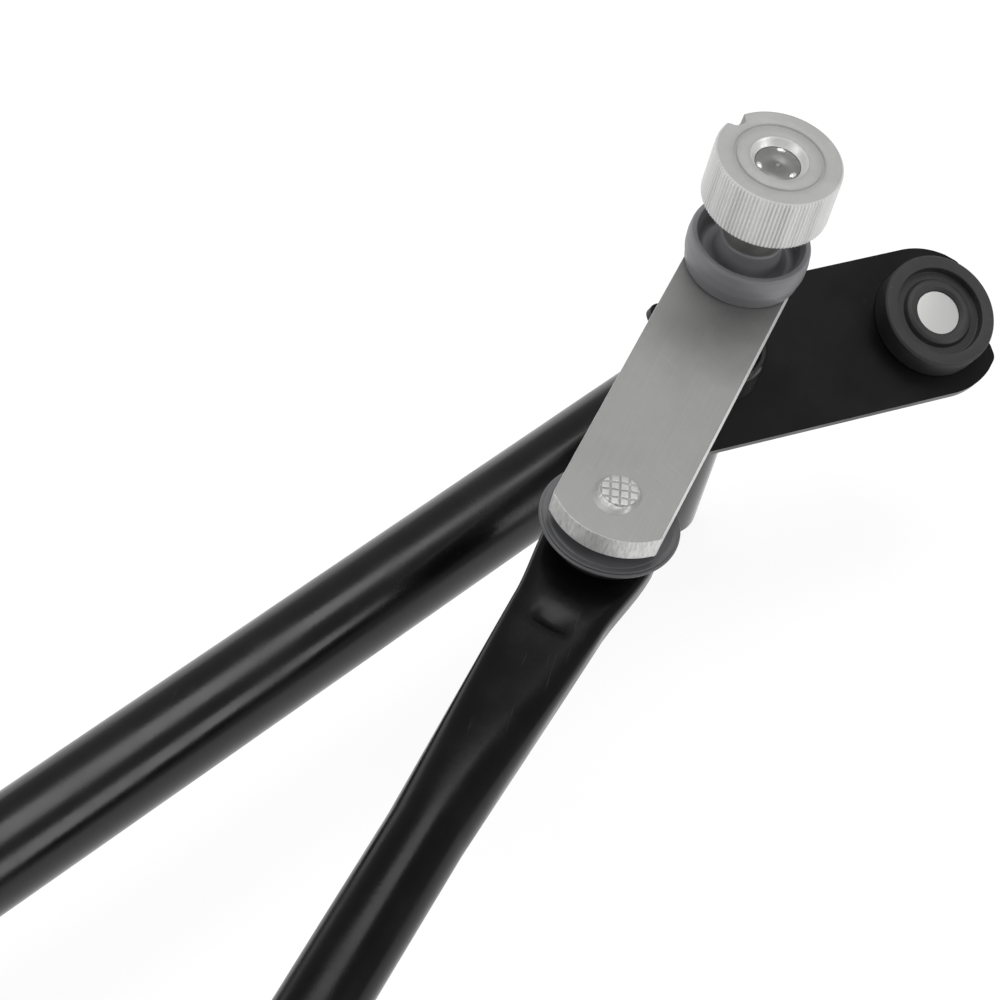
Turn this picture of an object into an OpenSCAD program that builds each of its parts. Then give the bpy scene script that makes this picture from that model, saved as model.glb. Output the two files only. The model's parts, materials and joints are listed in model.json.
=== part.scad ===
// Windshield wiper linkage on a tube frame: two pivots, two levers and two drive links.
// The origin is on the right pivot's axis, at the foot of its knurled drum.
// +Z runs up the pivots. The frame tube runs from the right pivot towards -X.

/* [Layout] */
// Distance between the two wiper pivots
pivot_span = 600; // [500:5:760]
// Distance from the frame tube's line to the motor's axis
motor_offset = 62; // [56:1:80]
// Angle of each lever off the tube's line, as shipped
lever_angle = 21.4; // [18:0.2:26]
// Angle of each link off the tube's line, as shipped
link_angle = 18.8; // [16:0.2:24]
// Angle of each end bracket off the tube's line
bracket_angle = 21; // [10:1:30]

/* [Frame tube] */
// Outer diameter of the frame tube
tube_d = 19.05; // [16:0.05:25]
// Wall of the frame tube
tube_wall = 1.6; // [1:0.1:2.5]
// Distance from the pivots' line to the tube's axis, away from the motor
tube_across = 2.4; // [0:0.1:4]

/* [Pivot housing] */
// Outer diameter of each pivot housing
housing_d = 17.7; // [15.5:0.1:24]
// Depth of each housing below the top of its end bracket
housing_below = 53.3; // [40:0.1:65]
// Diameter of the collar that stands on the end bracket
collar_d = 24.8; // [22:0.2:30]
// Height of the collar's top above the bracket's top, on the pivot's axis
collar_h = 3; // [1.5:0.5:5]
// Length of the upper bush
bush_upper_len = 14; // [8:1:18]
// Length of the lower bush
bush_lower_len = 12; // [8:1:18]
// Wall of the bushes
bush_wall = 1.5; // [1:0.1:2]
// Thickness of the upper bush's flange
bush_flange_t = 1.2; // [0.8:0.1:2]
// Thickness of the thrust washer under the lever
thrust_washer_t = 1.2; // [0.6:0.1:2]

/* [Shaft and drum] */
// Diameter of the pivot shaft in its bushes
shaft_d = 10; // [8:0.1:11]
// Diameter of the shaft where the lever is pressed on
shaft_seat_d = 11; // [10:0.1:12]
// Diameter of the shaft's neck between the lever and the drum
neck_d = 12.4; // [12.2:0.1:15]
// Height from the lever's top to the foot of the drum
neck_h = 18.7; // [15:0.1:24]
// Diameter of the knurled drum
drum_d = 26.6; // [24:0.2:30]
// Height of the knurled drum
drum_h = 12.6; // [10:0.2:16]
// Diameter of the ring groove in the drum's top
drum_ring_d = 18.9; // [17:0.1:20]
// Diameter of the drum's central recess
drum_recess_d = 12.4; // [11:0.1:14]
// Depth of the drum's central recess
drum_recess_h = 0.8; // [0.4:0.1:3]

/* [Cup seal] */
// Diameter of the cup seal's foot
cup_d = 24.1; // [20:0.1:30]
// Height of the cup seal's lip
cup_h = 8.3; // [6:0.1:12]

/* [Lever] */
// Distance from the pivot's axis to the ball
lever_len = 71; // [60:0.2:88]
// Width of the lever
lever_w = 22.6; // [20:0.2:27]
// Thickness of the lever
lever_t = 5; // [4:0.1:6]
// Radius of the lever's flattened nose
nose_r = 14.5; // [13:0.5:18]
// Distance from the ball's axis to the tip of the nose
nose_out = 11.7; // [10:0.1:14]

/* [Ball joint] */
// Diameter of the ball
ball_d = 14; // [13.6:0.1:15]
// Distance from the lever's face to the ball's centre
ball_drop = 12; // [11.6:0.1:14]
// Diameter of the ball stud's riveted head
rivet_d = 9; // [7:0.1:10]
// Height of the riveted head
rivet_h = 1.1; // [0.6:0.1:2]
// Diameter of the socket's body
socket_d = 18.6; // [18:0.1:20.4]
// Diameter of the mouth that the ball snaps through
socket_mouth_d = 12.8; // [11.4:0.1:13.2]
// Diameter of the socket's flange
socket_flange_d = 22; // [21:0.1:24]
// Thickness of the socket's closed end
socket_floor = 1.3; // [0.8:0.1:2]
// Diameter of the ball joint's seal
seal_d = 28.2; // [25:0.2:32]
// Thickness of the ball joint's seal
seal_t = 3.2; // [2:0.1:3.4]

/* [Link] */
// Diameter of the link tube
link_d = 15.5; // [14:0.1:17]
// Wall of the link tube
link_wall = 1.5; // [1:0.1:2]
// Diameter of the link's flattened eye
link_eye_d = 22.8; // [22.2:0.2:26]
// Thickness of the link's flattened eye
link_eye_t = 8; // [7:0.1:9]
// Width of the flat where it leaves the eye
link_flat_w = 19.2; // [18:0.2:21]
// Length over which the link goes from flat to round
link_blend = 70; // [50:1:90]

/* [End brackets] */
// Thickness of the end brackets and the motor plate
plate_t = 2.5; // [2:0.1:4]
// Height from the bracket's top, on the pivot's axis, to the lever's underside
plate_gap = 20.5; // [19:0.1:26]
// Lean of each bracket about its own long axis
bracket_lean = 21; // [12:1:26]
// Metal left behind the housing, at the bracket's back end
bracket_rim = 2.85; // [1.5:0.05:5]
// Radius of the bracket's round end, which is half its width
bracket_end_r = 16.9; // [16:0.1:20]
// Reach of the slot's two horns past the grommet's axis
horn_reach = 12.6; // [11:0.1:15]
// Distance from the pivot to the grommet, along the bracket
grommet_out = 51.9; // [48:0.1:60]
// Distance of the grommet from the pivot's line, across the bracket
grommet_across = 4.9; // [3:0.1:6.5]

/* [Grommets and locating pins] */
// Diameter of each grommet's flanges
grommet_d = 24.9; // [22:0.1:28]
// Diameter of the grommet's waist
waist_d = 14.8; // [13:0.2:19]
// Height of each grommet flange
grommet_flange = 5.8; // [3:0.1:7]
// Diameter of the locating pins in their grommets
pin_d = 10; // [8:0.1:11]
// Diameter of the locating pins' free ends
pin_tip_d = 8; // [6:0.1:9]
// Length of the free ends on the end brackets
pin_tip_len = 14; // [8:1:18]

/* [Motor plate] */
// Radius of the motor plate around the motor's axis
motor_plate_r = 42; // [40:1:48]
// Diameter of the hole for the motor's boss
motor_boss_d = 36; // [30:0.5:40]
// Diameter of the motor bolts' circle
motor_bolt_pcd = 60; // [56:0.5:66]
// Diameter of the motor bolts' holes
motor_bolt_d = 6.6; // [5:0.1:8]
// Distance from the motor's axis to the third grommet
third_grommet_out = 58; // [56:1:66]
// Length of the saddle along the tube
saddle_len = 40; // [34:1:50]
// Thickness of the saddle
saddle_t = 1.8; // [1.2:0.1:2.5]
// Diameter of the saddle's rivets
saddle_rivet_d = 5; // [4:0.1:6]

/* [Hidden] */
$fn = 64;
touch_gap = 0.3;
running_gap = 0.04;
eps = 0.01;

// Heights, from the foot of the drum downwards
lever_top = -neck_h;
lever_under = lever_top - lever_t;
plate_top = lever_under - plate_gap;
plate_under = plate_top - plate_t;
tube_z = plate_under - tube_d / 2;
tube_under = tube_z - tube_d / 2;
motor_plate_top = tube_under;
motor_plate_under = motor_plate_top - plate_t;
floor_z = plate_top - housing_below;
link_z_right = lever_under - ball_drop;
link_z_left = lever_top + ball_drop;

// Housing, bushes and shaft
housing_top = lever_under - touch_gap - thrust_washer_t - bush_flange_t;
bore_d = shaft_d + 2 * bush_wall;
recess_h = 6.7;
recess_d = bore_d + 1.4;
edge_cut = 1.2;
lower_bush_z = floor_z + recess_h;
washer_t = 1;
clip_t = 1.1;
clip_groove_d = shaft_d - 1.6;
clip_top = lower_bush_z - washer_t - touch_gap;
clip_d = recess_d - 0.6;
shaft_foot = clip_top - clip_t - 1.5;
thrust_washer_d = housing_d + 1.2;
drum_bore_d = shaft_d - 0.4;
drum_cut = 0.4;
ring_w = 0.9;
ring_depth = 0.5;
notch_w = 4.2;
notch_depth = 2.4;
notch_h = 3;
notch_angle = 86;

// Cup seal's section
cup_belly = 0.8;
cup_wall = 1.6;
cup_floor = 2.2;
cup_bore_d = neck_d;

// Lever and ball joint
stud_hole_d = 8;
stud_shoulder_d = 12;
stud_shoulder_h = 1.5;
stud_neck_d = 7.2;
socket_flange_z = link_eye_t / 2;
socket_flange_t = 1.2;
socket_top = socket_flange_z + socket_flange_t;
seal_bore_d = stud_neck_d + 4 * touch_gap;
seal_rim_t = 1.1;
seal_foot_in = 3;
seal_step = 0.7;

// Link
motor_x = -pivot_span / 2;
motor_reach = sqrt(pow(motor_x, 2) + pow(motor_offset, 2));
link_len = sqrt(pow(motor_reach, 2) - pow(lever_len, 2));
link_flat_x = 24;
hull_inset = 0.1;
hull_fn = 32;

// Brackets
bracket_back = housing_d / 2 + bracket_rim;
bracket_corner = 2;
bracket_out = bracket_end_r - grommet_across;
bracket_in = bracket_end_r + grommet_across;
plate_corner = 6;
tube_start = 3;

// Grommets
grommet_cut = 1;
grommet_boss_d = 15.6;
grommet_ring_w = 1.7;
grommet_ring_depth = 1;
pin_head_drop = 0.9;
pin_cut = 1;

// Motor plate and saddle
motor_boss_rim = 1.6;
motor_boss_rim_h = 2.5;
motor_neck_w = 60;
saddle_flange = 11;
rivet_inset = 6;
rivet_head_h = 1.6;
rivet_head_d = saddle_rivet_d * 1.7;
plate_tail = tube_d / 2 + saddle_t + saddle_flange + 1;
saddle_rivet_y = tube_d / 2 + saddle_t + saddle_flange / 2;

// ---- Placing ----

// The left end is the right end's mirror image, one pivot span away
module left_end() {
    translate([-pivot_span, 0, 0]) mirror([1, 0, 0]) children();
}

// Puts its children in the lever's own frame, with +X from the pivot to the ball
module along_lever() {
    rotate(180 + lever_angle) children();
}

// Puts its children in a link's own frame: the ball's centre, with +X along the link
module along_link(z) {
    translate([
        lever_len * cos(180 + lever_angle),
        lever_len * sin(180 + lever_angle),
        z
    ]) rotate(180 + link_angle) children();
}

// Puts its children in the right bracket's own frame: +X along it, with its top face at z = 0
module on_bracket() {
    translate([0, 0, plate_top]) rotate([0, 0, -bracket_angle]) rotate([bracket_lean, 0, 0]) children();
}

// Puts its children at the grommet of an end bracket
module at_bracket_grommet() {
    on_bracket() translate([grommet_out, -grommet_across, 0]) children();
}

// Puts its children at the motor plate's grommet
module at_motor_grommet() {
    translate([motor_x, -motor_offset - third_grommet_out, 0]) children();
}

// ---- Shapes that repeat ----

module disc(d, z, h) {
    translate([0, 0, z]) cylinder(d = d, h = h);
}

module ring(d_out, d_in, z, h) {
    difference() {
        disc(d_out, z, h);
        disc(d_in, z - 1, h + 2);
    }
}

module rounded_rect(x0, x1, y0, y1, r) {
    translate([x0 + r, y0]) square([x1 - x0 - 2 * r, y1 - y0]);
    translate([x0, y0 + r]) square([x1 - x0, y1 - y0 - 2 * r]);
    for (x = [x0 + r, x1 - r], y = [y0 + r, y1 - r]) translate([x, y]) circle(r = r);
}

// ---- Frame ----

module frame_tube() {
    color([0.05, 0.05, 0.055]) difference() {
        translate([-tube_start, tube_across, tube_z]) rotate([0, -90, 0])
            cylinder(d = tube_d, h = pivot_span - 2 * tube_start);
        translate([0, tube_across, tube_z]) rotate([0, -90, 0])
            cylinder(d = tube_d - 2 * tube_wall, h = pivot_span);
        for (x = [0, -pivot_span]) translate([x, 0, tube_under - 1])
            cylinder(d = housing_d, h = tube_d + 2);
    }
}

// A straight plate with a full-round end, slotted from that end to the grommet's waist
module bracket_outline() {
    difference() {
        union() {
            rounded_rect(-bracket_back, grommet_out, -bracket_in, bracket_out, bracket_corner);
            translate([0, -bracket_in]) square([grommet_out, bracket_in + bracket_out]);
            translate([grommet_out, -grommet_across]) circle(r = bracket_end_r);
        }
        translate([grommet_out, -grommet_across]) {
            circle(d = waist_d);
            translate([0, -waist_d / 2]) square([2 * bracket_end_r, waist_d]);
            translate([horn_reach, -bracket_end_r]) square(2 * bracket_end_r);
        }
    }
}

module end_bracket() {
    color([0.1, 0.1, 0.1]) difference() {
        on_bracket() translate([0, 0, -plate_t]) linear_extrude(plate_t) bracket_outline();
        disc(housing_d, plate_top - bracket_end_r, 2 * bracket_end_r);
        translate([0, tube_across, tube_z]) rotate([0, -90, 0])
            cylinder(d = tube_d, h = pivot_span / 2);
    }
}

// The collar stands on the leaned bracket's top, round the housing
module housing_collar() {
    difference() {
        disc(collar_d, plate_top - collar_d / 4, collar_d / 4 + collar_h);
        on_bracket() translate([-collar_d, -collar_d, -collar_d])
            cube([2 * collar_d, 2 * collar_d, collar_d]);
    }
}

module pivot_housing() {
    color([0.12, 0.12, 0.125]) difference() {
        union() {
            disc(housing_d, floor_z + edge_cut, housing_top - floor_z - edge_cut);
            translate([0, 0, floor_z])
                cylinder(d1 = housing_d - 2 * edge_cut, d2 = housing_d, h = edge_cut);
            housing_collar();
        }
        disc(bore_d, floor_z, housing_top - floor_z + 1);
        disc(recess_d, floor_z - 1, recess_h + 1);
    }
}

module upper_bush() {
    color([0.55, 0.42, 0.24]) difference() {
        union() {
            disc(bore_d, housing_top - bush_upper_len, bush_upper_len);
            disc(housing_d - 1, housing_top, bush_flange_t);
        }
        disc(shaft_d + 2 * running_gap, housing_top - bush_upper_len - 1, bush_upper_len + 4);
    }
}

module lower_bush() {
    color([0.55, 0.42, 0.24])
        ring(bore_d, shaft_d + 2 * running_gap, lower_bush_z, bush_lower_len);
}

module thrust_washer() {
    color([0.62, 0.62, 0.6])
        ring(thrust_washer_d, shaft_d + touch_gap, housing_top + bush_flange_t, thrust_washer_t);
}

module lower_washer() {
    color([0.62, 0.62, 0.6])
        ring(clip_d, shaft_d + touch_gap, lower_bush_z - washer_t, washer_t);
}

// A spool of rubber: two flanges and a waist that fills the plate's slot
module grommet(top, under) {
    rim = grommet_d / 2;
    waist = waist_d / 2;
    bore = pin_d / 2;
    boss = grommet_boss_d / 2;
    groove = boss + grommet_ring_w;
    high = top + grommet_flange;
    low = under - grommet_flange;
    color([0.12, 0.12, 0.12]) rotate_extrude() polygon([
        [bore, low], [rim - grommet_cut, low], [rim, low + grommet_cut], [rim, under],
        [waist, under], [waist, top],
        [rim, top], [rim, high - grommet_cut], [rim - grommet_cut, high],
        [groove, high], [groove, high - grommet_ring_depth],
        [boss, high - grommet_ring_depth], [boss, high], [bore, high]
    ]);
}

// A locating pin fills its grommet's bore and ends in a thinner tip
module locating_pin(top, under, tip_end) {
    step = under - grommet_flange - 1;
    color([0.7, 0.7, 0.7]) union() {
        disc(pin_d, step, top + grommet_flange - pin_head_drop - step);
        disc(pin_tip_d, tip_end + pin_cut, step - tip_end - pin_cut);
        translate([0, 0, tip_end])
            cylinder(d1 = pin_tip_d - 2 * pin_cut, d2 = pin_tip_d, h = pin_cut);
    }
}

module bracket_grommet() {
    at_bracket_grommet() grommet(0, -plate_t);
}

module bracket_pin() {
    at_bracket_grommet() locating_pin(0, -plate_t, -plate_t - grommet_flange - 1 - pin_tip_len);
}

module motor_grommet() {
    at_motor_grommet() grommet(motor_plate_top, motor_plate_under);
}

module motor_locating_pin() {
    at_motor_grommet() locating_pin(motor_plate_top, motor_plate_under, floor_z);
}

module motor_plate_outline() {
    difference() {
        union() {
            circle(r = motor_plate_r);
            translate([-motor_neck_w / 2, 0])
                rounded_rect(0, motor_neck_w, 0, motor_offset + tube_across + plate_tail, plate_corner);
            translate([0, -third_grommet_out]) circle(d = grommet_d + 8);
        }
        circle(d = motor_boss_d);
        for (a = [90, 210, 330]) rotate(a) translate([motor_bolt_pcd / 2, 0]) circle(d = motor_bolt_d);
        translate([0, -third_grommet_out]) circle(d = waist_d);
        translate([0, motor_offset + tube_across]) saddle_rivet_places() circle(d = saddle_rivet_d);
    }
}

// Four rivets, two on each side of the tube
module saddle_rivet_places() {
    for (sx = [-1, 1], sy = [-1, 1])
        translate([sx * (saddle_len / 2 - rivet_inset), sy * saddle_rivet_y]) children();
}

module motor_plate() {
    color([0.08, 0.08, 0.085]) translate([motor_x, -motor_offset, 0]) union() {
        translate([0, 0, motor_plate_under]) linear_extrude(plate_t) motor_plate_outline();
        ring(motor_boss_d + 2 * motor_boss_rim, motor_boss_d,
            motor_plate_top - eps, motor_boss_rim_h + eps);
    }
}

// The strap that holds the tube down on the motor plate
module saddle_section() {
    out_r = tube_d / 2 + saddle_t;
    foot_z = motor_plate_top - tube_z;
    difference() {
        union() {
            circle(r = out_r);
            translate([-out_r, foot_z]) square([2 * out_r, -foot_z]);
            translate([-out_r - saddle_flange, foot_z])
                square([2 * (out_r + saddle_flange), saddle_t]);
        }
        circle(d = tube_d);
        translate([-tube_d / 2, foot_z - 1]) square([tube_d, 1 - foot_z]);
        translate([-2 * out_r, foot_z - out_r]) square([4 * out_r, out_r]);
    }
}

module tube_saddle() {
    color([0.08, 0.08, 0.085]) translate([motor_x, tube_across, 0]) difference() {
        translate([-saddle_len / 2, 0, tube_z]) rotate([90, 0, 90])
            linear_extrude(saddle_len) saddle_section();
        saddle_rivet_places() disc(saddle_rivet_d, motor_plate_top - 1, saddle_t + 2);
    }
}

module saddle_rivets() {
    color([0.2, 0.2, 0.2]) translate([motor_x, tube_across, 0]) saddle_rivet_places() union() {
        disc(saddle_rivet_d, motor_plate_under, plate_t + saddle_t);
        disc(rivet_head_d, motor_plate_top + saddle_t, rivet_head_h);
        disc(rivet_head_d, motor_plate_under - rivet_head_h, rivet_head_h);
    }
}

// ---- Pivot shaft, drum and lever ----

module pivot_shaft() {
    color([0.66, 0.66, 0.65]) difference() {
        union() {
            disc(shaft_d, shaft_foot, lever_under - shaft_foot);
            disc(shaft_seat_d, lever_under, lever_t);
            disc(neck_d, lever_top, neck_h);
            disc(drum_bore_d, 0, drum_h - drum_recess_h);
        }
        ring(shaft_d + 2, clip_groove_d, clip_top - clip_t, clip_t);
    }
}

module retaining_clip() {
    color([0.45, 0.45, 0.44]) ring(clip_d, clip_groove_d, clip_top - clip_t, clip_t);
}

// The drum: its top edge is cut, and its top is ring-grooved and recessed over the shaft's end
module pivot_drum() {
    rim = drum_d / 2;
    color([0.78, 0.78, 0.77]) difference() {
        union() {
            cylinder(d = drum_d, h = drum_h - drum_cut);
            translate([0, 0, drum_h - drum_cut])
                cylinder(d1 = drum_d, d2 = drum_d - 2 * drum_cut, h = drum_cut);
        }
        disc(drum_bore_d, -1, drum_h + 2);
        disc(drum_recess_d, drum_h - drum_recess_h, drum_recess_h + 1);
        ring(drum_ring_d + ring_w, drum_ring_d - ring_w, drum_h - ring_depth, ring_depth + 1);
        rotate(notch_angle) translate([rim - notch_depth, -notch_w / 2, drum_h - notch_h])
            cube([3 * notch_depth, notch_w, 2 * notch_h]);
    }
}

// An open rubber cup that grips the shaft's neck and seals on the lever
module cup_seal() {
    foot = cup_d / 2;
    neck = cup_bore_d / 2;
    lip = foot - 0.1;
    color([0.3, 0.3, 0.31]) translate([0, 0, lever_top]) rotate_extrude() polygon([
        [neck, 0], [foot, 0], [foot + 0.6 * cup_belly, cup_h * 0.2],
        [foot + cup_belly, cup_h * 0.45], [foot + 0.5 * cup_belly, cup_h * 0.8],
        [lip, cup_h], [lip - cup_wall, cup_h - 1.2], [lip - cup_wall - 0.8, cup_h * 0.5],
        [neck + 2.4, cup_floor], [neck + 1.6, cup_floor + 1.6], [neck, cup_floor + 2.4]
    ]);
}

module lever_outline() {
    circle(d = lever_w);
    translate([0, -lever_w / 2]) square([lever_len, lever_w]);
    intersection() {
        translate([lever_len + nose_out - nose_r, 0]) circle(r = nose_r);
        translate([lever_len - 1, -lever_w / 2]) square([lever_w, lever_w]);
    }
}

module pivot_lever() {
    color([0.6, 0.6, 0.58]) along_lever() translate([0, 0, lever_under]) linear_extrude(lever_t)
        difference() {
            lever_outline();
            circle(d = shaft_seat_d);
            translate([lever_len, 0]) circle(d = stud_hole_d);
        }
}

// ---- Ball joint, drawn at the ball's centre with the lever above it ----

module ball_stud_shape() {
    color([0.68, 0.68, 0.66]) union() {
        sphere(d = ball_d);
        disc(stud_neck_d, 0, ball_drop);
        disc(stud_shoulder_d, ball_drop - stud_shoulder_h, stud_shoulder_h);
        disc(stud_hole_d, ball_drop, lever_t);
        disc(rivet_d, ball_drop + lever_t, rivet_h);
    }
}

module socket_shape() {
    low = -ball_d / 2 - socket_floor;
    color([0.16, 0.16, 0.16]) difference() {
        union() {
            disc(socket_d, low, socket_top - low);
            disc(socket_flange_d, socket_flange_z, socket_flange_t);
        }
        sphere(d = ball_d + 2 * running_gap);
        disc(socket_mouth_d, 0, socket_top + 1);
    }
}

// The seal widens from the socket's flange to a stepped rim
module joint_seal_shape() {
    foot_d = seal_d - 2 * seal_foot_in;
    color([0.22, 0.22, 0.22]) translate([0, 0, socket_top]) difference() {
        union() {
            cylinder(d1 = foot_d, d2 = seal_d - 2 * seal_step, h = seal_t - seal_rim_t);
            disc(seal_d, seal_t - seal_rim_t, seal_rim_t);
        }
        translate([0, 0, -eps])
            cylinder(d1 = ball_d - 2.6, d2 = seal_bore_d, h = seal_t / 2 + eps);
        disc(seal_bore_d, seal_t / 2 - eps, seal_t);
    }
}

// The same shapes with the mouth turned down
module mouth_down() {
    mirror([0, 0, 1]) children();
}

// ---- Link ----

module link_flat() {
    translate([link_flat_x, -link_flat_w / 2, -link_eye_t / 2]) cube([eps, link_flat_w, link_eye_t]);
}

// One flattened end: the eye, the flat and the swell to the round tube
module link_end() {
    hull() {
        cylinder(d = link_eye_d, h = link_eye_t, center = true, $fn = 2 * hull_fn);
        link_flat();
    }
    hull() {
        link_flat();
        translate([link_blend, 0, 0]) rotate([0, 90, 0])
            cylinder(d = link_d - 2 * hull_inset, h = eps, $fn = hull_fn);
    }
}

module drive_link() {
    color([0.06, 0.06, 0.065]) difference() {
        union() {
            link_end();
            translate([link_len, 0, 0]) mirror([1, 0, 0]) link_end();
            translate([link_blend - 1, 0, 0]) rotate([0, 90, 0])
                cylinder(d = link_d, h = link_len - 2 * link_blend + 2);
        }
        for (x = [0, link_len]) translate([x, 0, 0])
            cylinder(d = socket_d, h = 4 * link_eye_t, center = true);
        translate([link_blend - 1, 0, 0]) rotate([0, 90, 0])
            cylinder(d = link_d - 2 * link_wall, h = link_len - 2 * link_blend + 2);
    }
}

module right_link() {
    along_link(link_z_right) drive_link();
}

module left_link() {
    left_end() along_link(link_z_left) drive_link();
}

// Places a joint piece at either end of either link, with its mouth up or down
module on_right_link(far) {
    along_link(link_z_right) translate([far ? link_len : 0, 0, 0])
        if (far) mouth_down() children();
        else children();
}

module on_left_link(far) {
    left_end() along_link(link_z_left) translate([far ? link_len : 0, 0, 0])
        mouth_down() children();
}

module right_ball_stud() {
    along_lever() translate([lever_len, 0, link_z_right]) ball_stud_shape();
}

module left_ball_stud() {
    left_end() along_lever() translate([lever_len, 0, link_z_left])
        mouth_down() ball_stud_shape();
}

frame_tube();
end_bracket();  // right_bracket
left_end() end_bracket();  // left_bracket
motor_plate();
tube_saddle();
saddle_rivets();
pivot_housing();  // right_housing
left_end() pivot_housing();  // left_housing
upper_bush();  // right_upper_bush
left_end() upper_bush();  // left_upper_bush
lower_bush();  // right_lower_bush
left_end() lower_bush();  // left_lower_bush
thrust_washer();  // right_thrust_washer
left_end() thrust_washer();  // left_thrust_washer
lower_washer();  // right_lower_washer
left_end() lower_washer();  // left_lower_washer
retaining_clip();  // right_retaining_clip
left_end() retaining_clip();  // left_retaining_clip
bracket_grommet();  // right_grommet
left_end() bracket_grommet();  // left_grommet
motor_grommet();
bracket_pin();  // right_locating_pin
left_end() bracket_pin();  // left_locating_pin
motor_locating_pin();
pivot_shaft();  // right_shaft
left_end() pivot_shaft();  // left_shaft
pivot_drum();  // right_drum
left_end() pivot_drum();  // left_drum
cup_seal();  // right_cup_seal
left_end() cup_seal();  // left_cup_seal
pivot_lever();  // right_lever
left_end() pivot_lever();  // left_lever
right_ball_stud();
left_ball_stud();
right_link();
left_link();
on_right_link(false) socket_shape();  // right_lever_socket
on_left_link(false) socket_shape();  // left_lever_socket
on_right_link(true) socket_shape();  // right_crank_socket
on_left_link(true) socket_shape();  // left_crank_socket
on_right_link(false) joint_seal_shape();  // right_lever_seal
on_left_link(false) joint_seal_shape();  // left_lever_seal
on_right_link(true) joint_seal_shape();  // right_crank_seal
on_left_link(true) joint_seal_shape();  // left_crank_seal
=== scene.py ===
"""Looks of a tube-frame windshield wiper linkage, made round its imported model."""
import json
import logging
import math
from collections.abc import Callable, Sequence
from dataclasses import dataclass, replace
from enum import Enum

import bmesh
import bpy
from mathutils import Matrix, Vector


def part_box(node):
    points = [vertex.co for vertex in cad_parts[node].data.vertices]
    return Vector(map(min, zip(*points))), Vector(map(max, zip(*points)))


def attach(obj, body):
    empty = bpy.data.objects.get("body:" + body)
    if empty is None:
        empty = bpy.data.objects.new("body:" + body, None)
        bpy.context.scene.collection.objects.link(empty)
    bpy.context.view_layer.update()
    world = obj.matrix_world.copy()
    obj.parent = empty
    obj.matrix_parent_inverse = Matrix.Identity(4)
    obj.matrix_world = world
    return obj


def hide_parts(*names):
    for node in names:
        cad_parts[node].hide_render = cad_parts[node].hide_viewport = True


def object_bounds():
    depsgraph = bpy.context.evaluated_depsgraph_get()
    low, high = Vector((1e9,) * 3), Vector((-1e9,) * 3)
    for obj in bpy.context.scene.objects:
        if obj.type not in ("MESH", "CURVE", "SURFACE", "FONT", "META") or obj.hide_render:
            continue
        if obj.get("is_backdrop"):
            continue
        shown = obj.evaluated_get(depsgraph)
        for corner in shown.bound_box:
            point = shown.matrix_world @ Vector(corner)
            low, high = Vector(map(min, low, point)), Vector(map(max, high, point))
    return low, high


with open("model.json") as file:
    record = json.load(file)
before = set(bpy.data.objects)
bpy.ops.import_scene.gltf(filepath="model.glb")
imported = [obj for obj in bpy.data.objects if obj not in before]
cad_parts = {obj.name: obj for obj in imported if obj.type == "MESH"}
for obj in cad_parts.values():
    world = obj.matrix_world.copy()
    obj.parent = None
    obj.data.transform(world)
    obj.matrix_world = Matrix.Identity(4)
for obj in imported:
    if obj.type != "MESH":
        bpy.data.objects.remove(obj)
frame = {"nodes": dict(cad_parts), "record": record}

CAD_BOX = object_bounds()
MM = 0.001
LOG = logging.getLogger("wiper_linkage")

Point = tuple[float, float]
Colour = tuple[float, float, float]


# ---- Shader maths ----


class Signal:
    """A number that varies over a surface, held as a shader socket."""

    def __init__(self, recipe: "Recipe", socket: bpy.types.NodeSocket) -> None:
        """Args: recipe: the material's recipe. socket: the output that carries the number."""
        self.recipe = recipe
        self.socket = socket

    def _maths(self, operation: str, first: object, second: object) -> "Signal":
        """Adds one Math node and returns its output."""
        node = self.recipe.node("ShaderNodeMath", {"operation": operation}, {0: first, 1: second})
        return Signal(self.recipe, node.outputs[0])

    def __add__(self, other: object) -> "Signal":
        """This signal plus another."""
        return self._maths("ADD", self, other)

    def __sub__(self, other: object) -> "Signal":
        """This signal less another."""
        return self._maths("SUBTRACT", self, other)

    def __rsub__(self, other: object) -> "Signal":
        """A number less this signal."""
        return self._maths("SUBTRACT", other, self)

    def __mul__(self, other: object) -> "Signal":
        """This signal times another."""
        return self._maths("MULTIPLY", self, other)

    def __truediv__(self, other: object) -> "Signal":
        """This signal divided by another."""
        return self._maths("DIVIDE", self, other)

    def __pow__(self, other: object) -> "Signal":
        """This signal to a power."""
        return self._maths("POWER", self, other)

    __radd__ = __add__
    __rmul__ = __mul__

    def greatest(self, other: object) -> "Signal":
        """The greater of this signal and another."""
        return self._maths("MAXIMUM", self, other)


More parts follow.
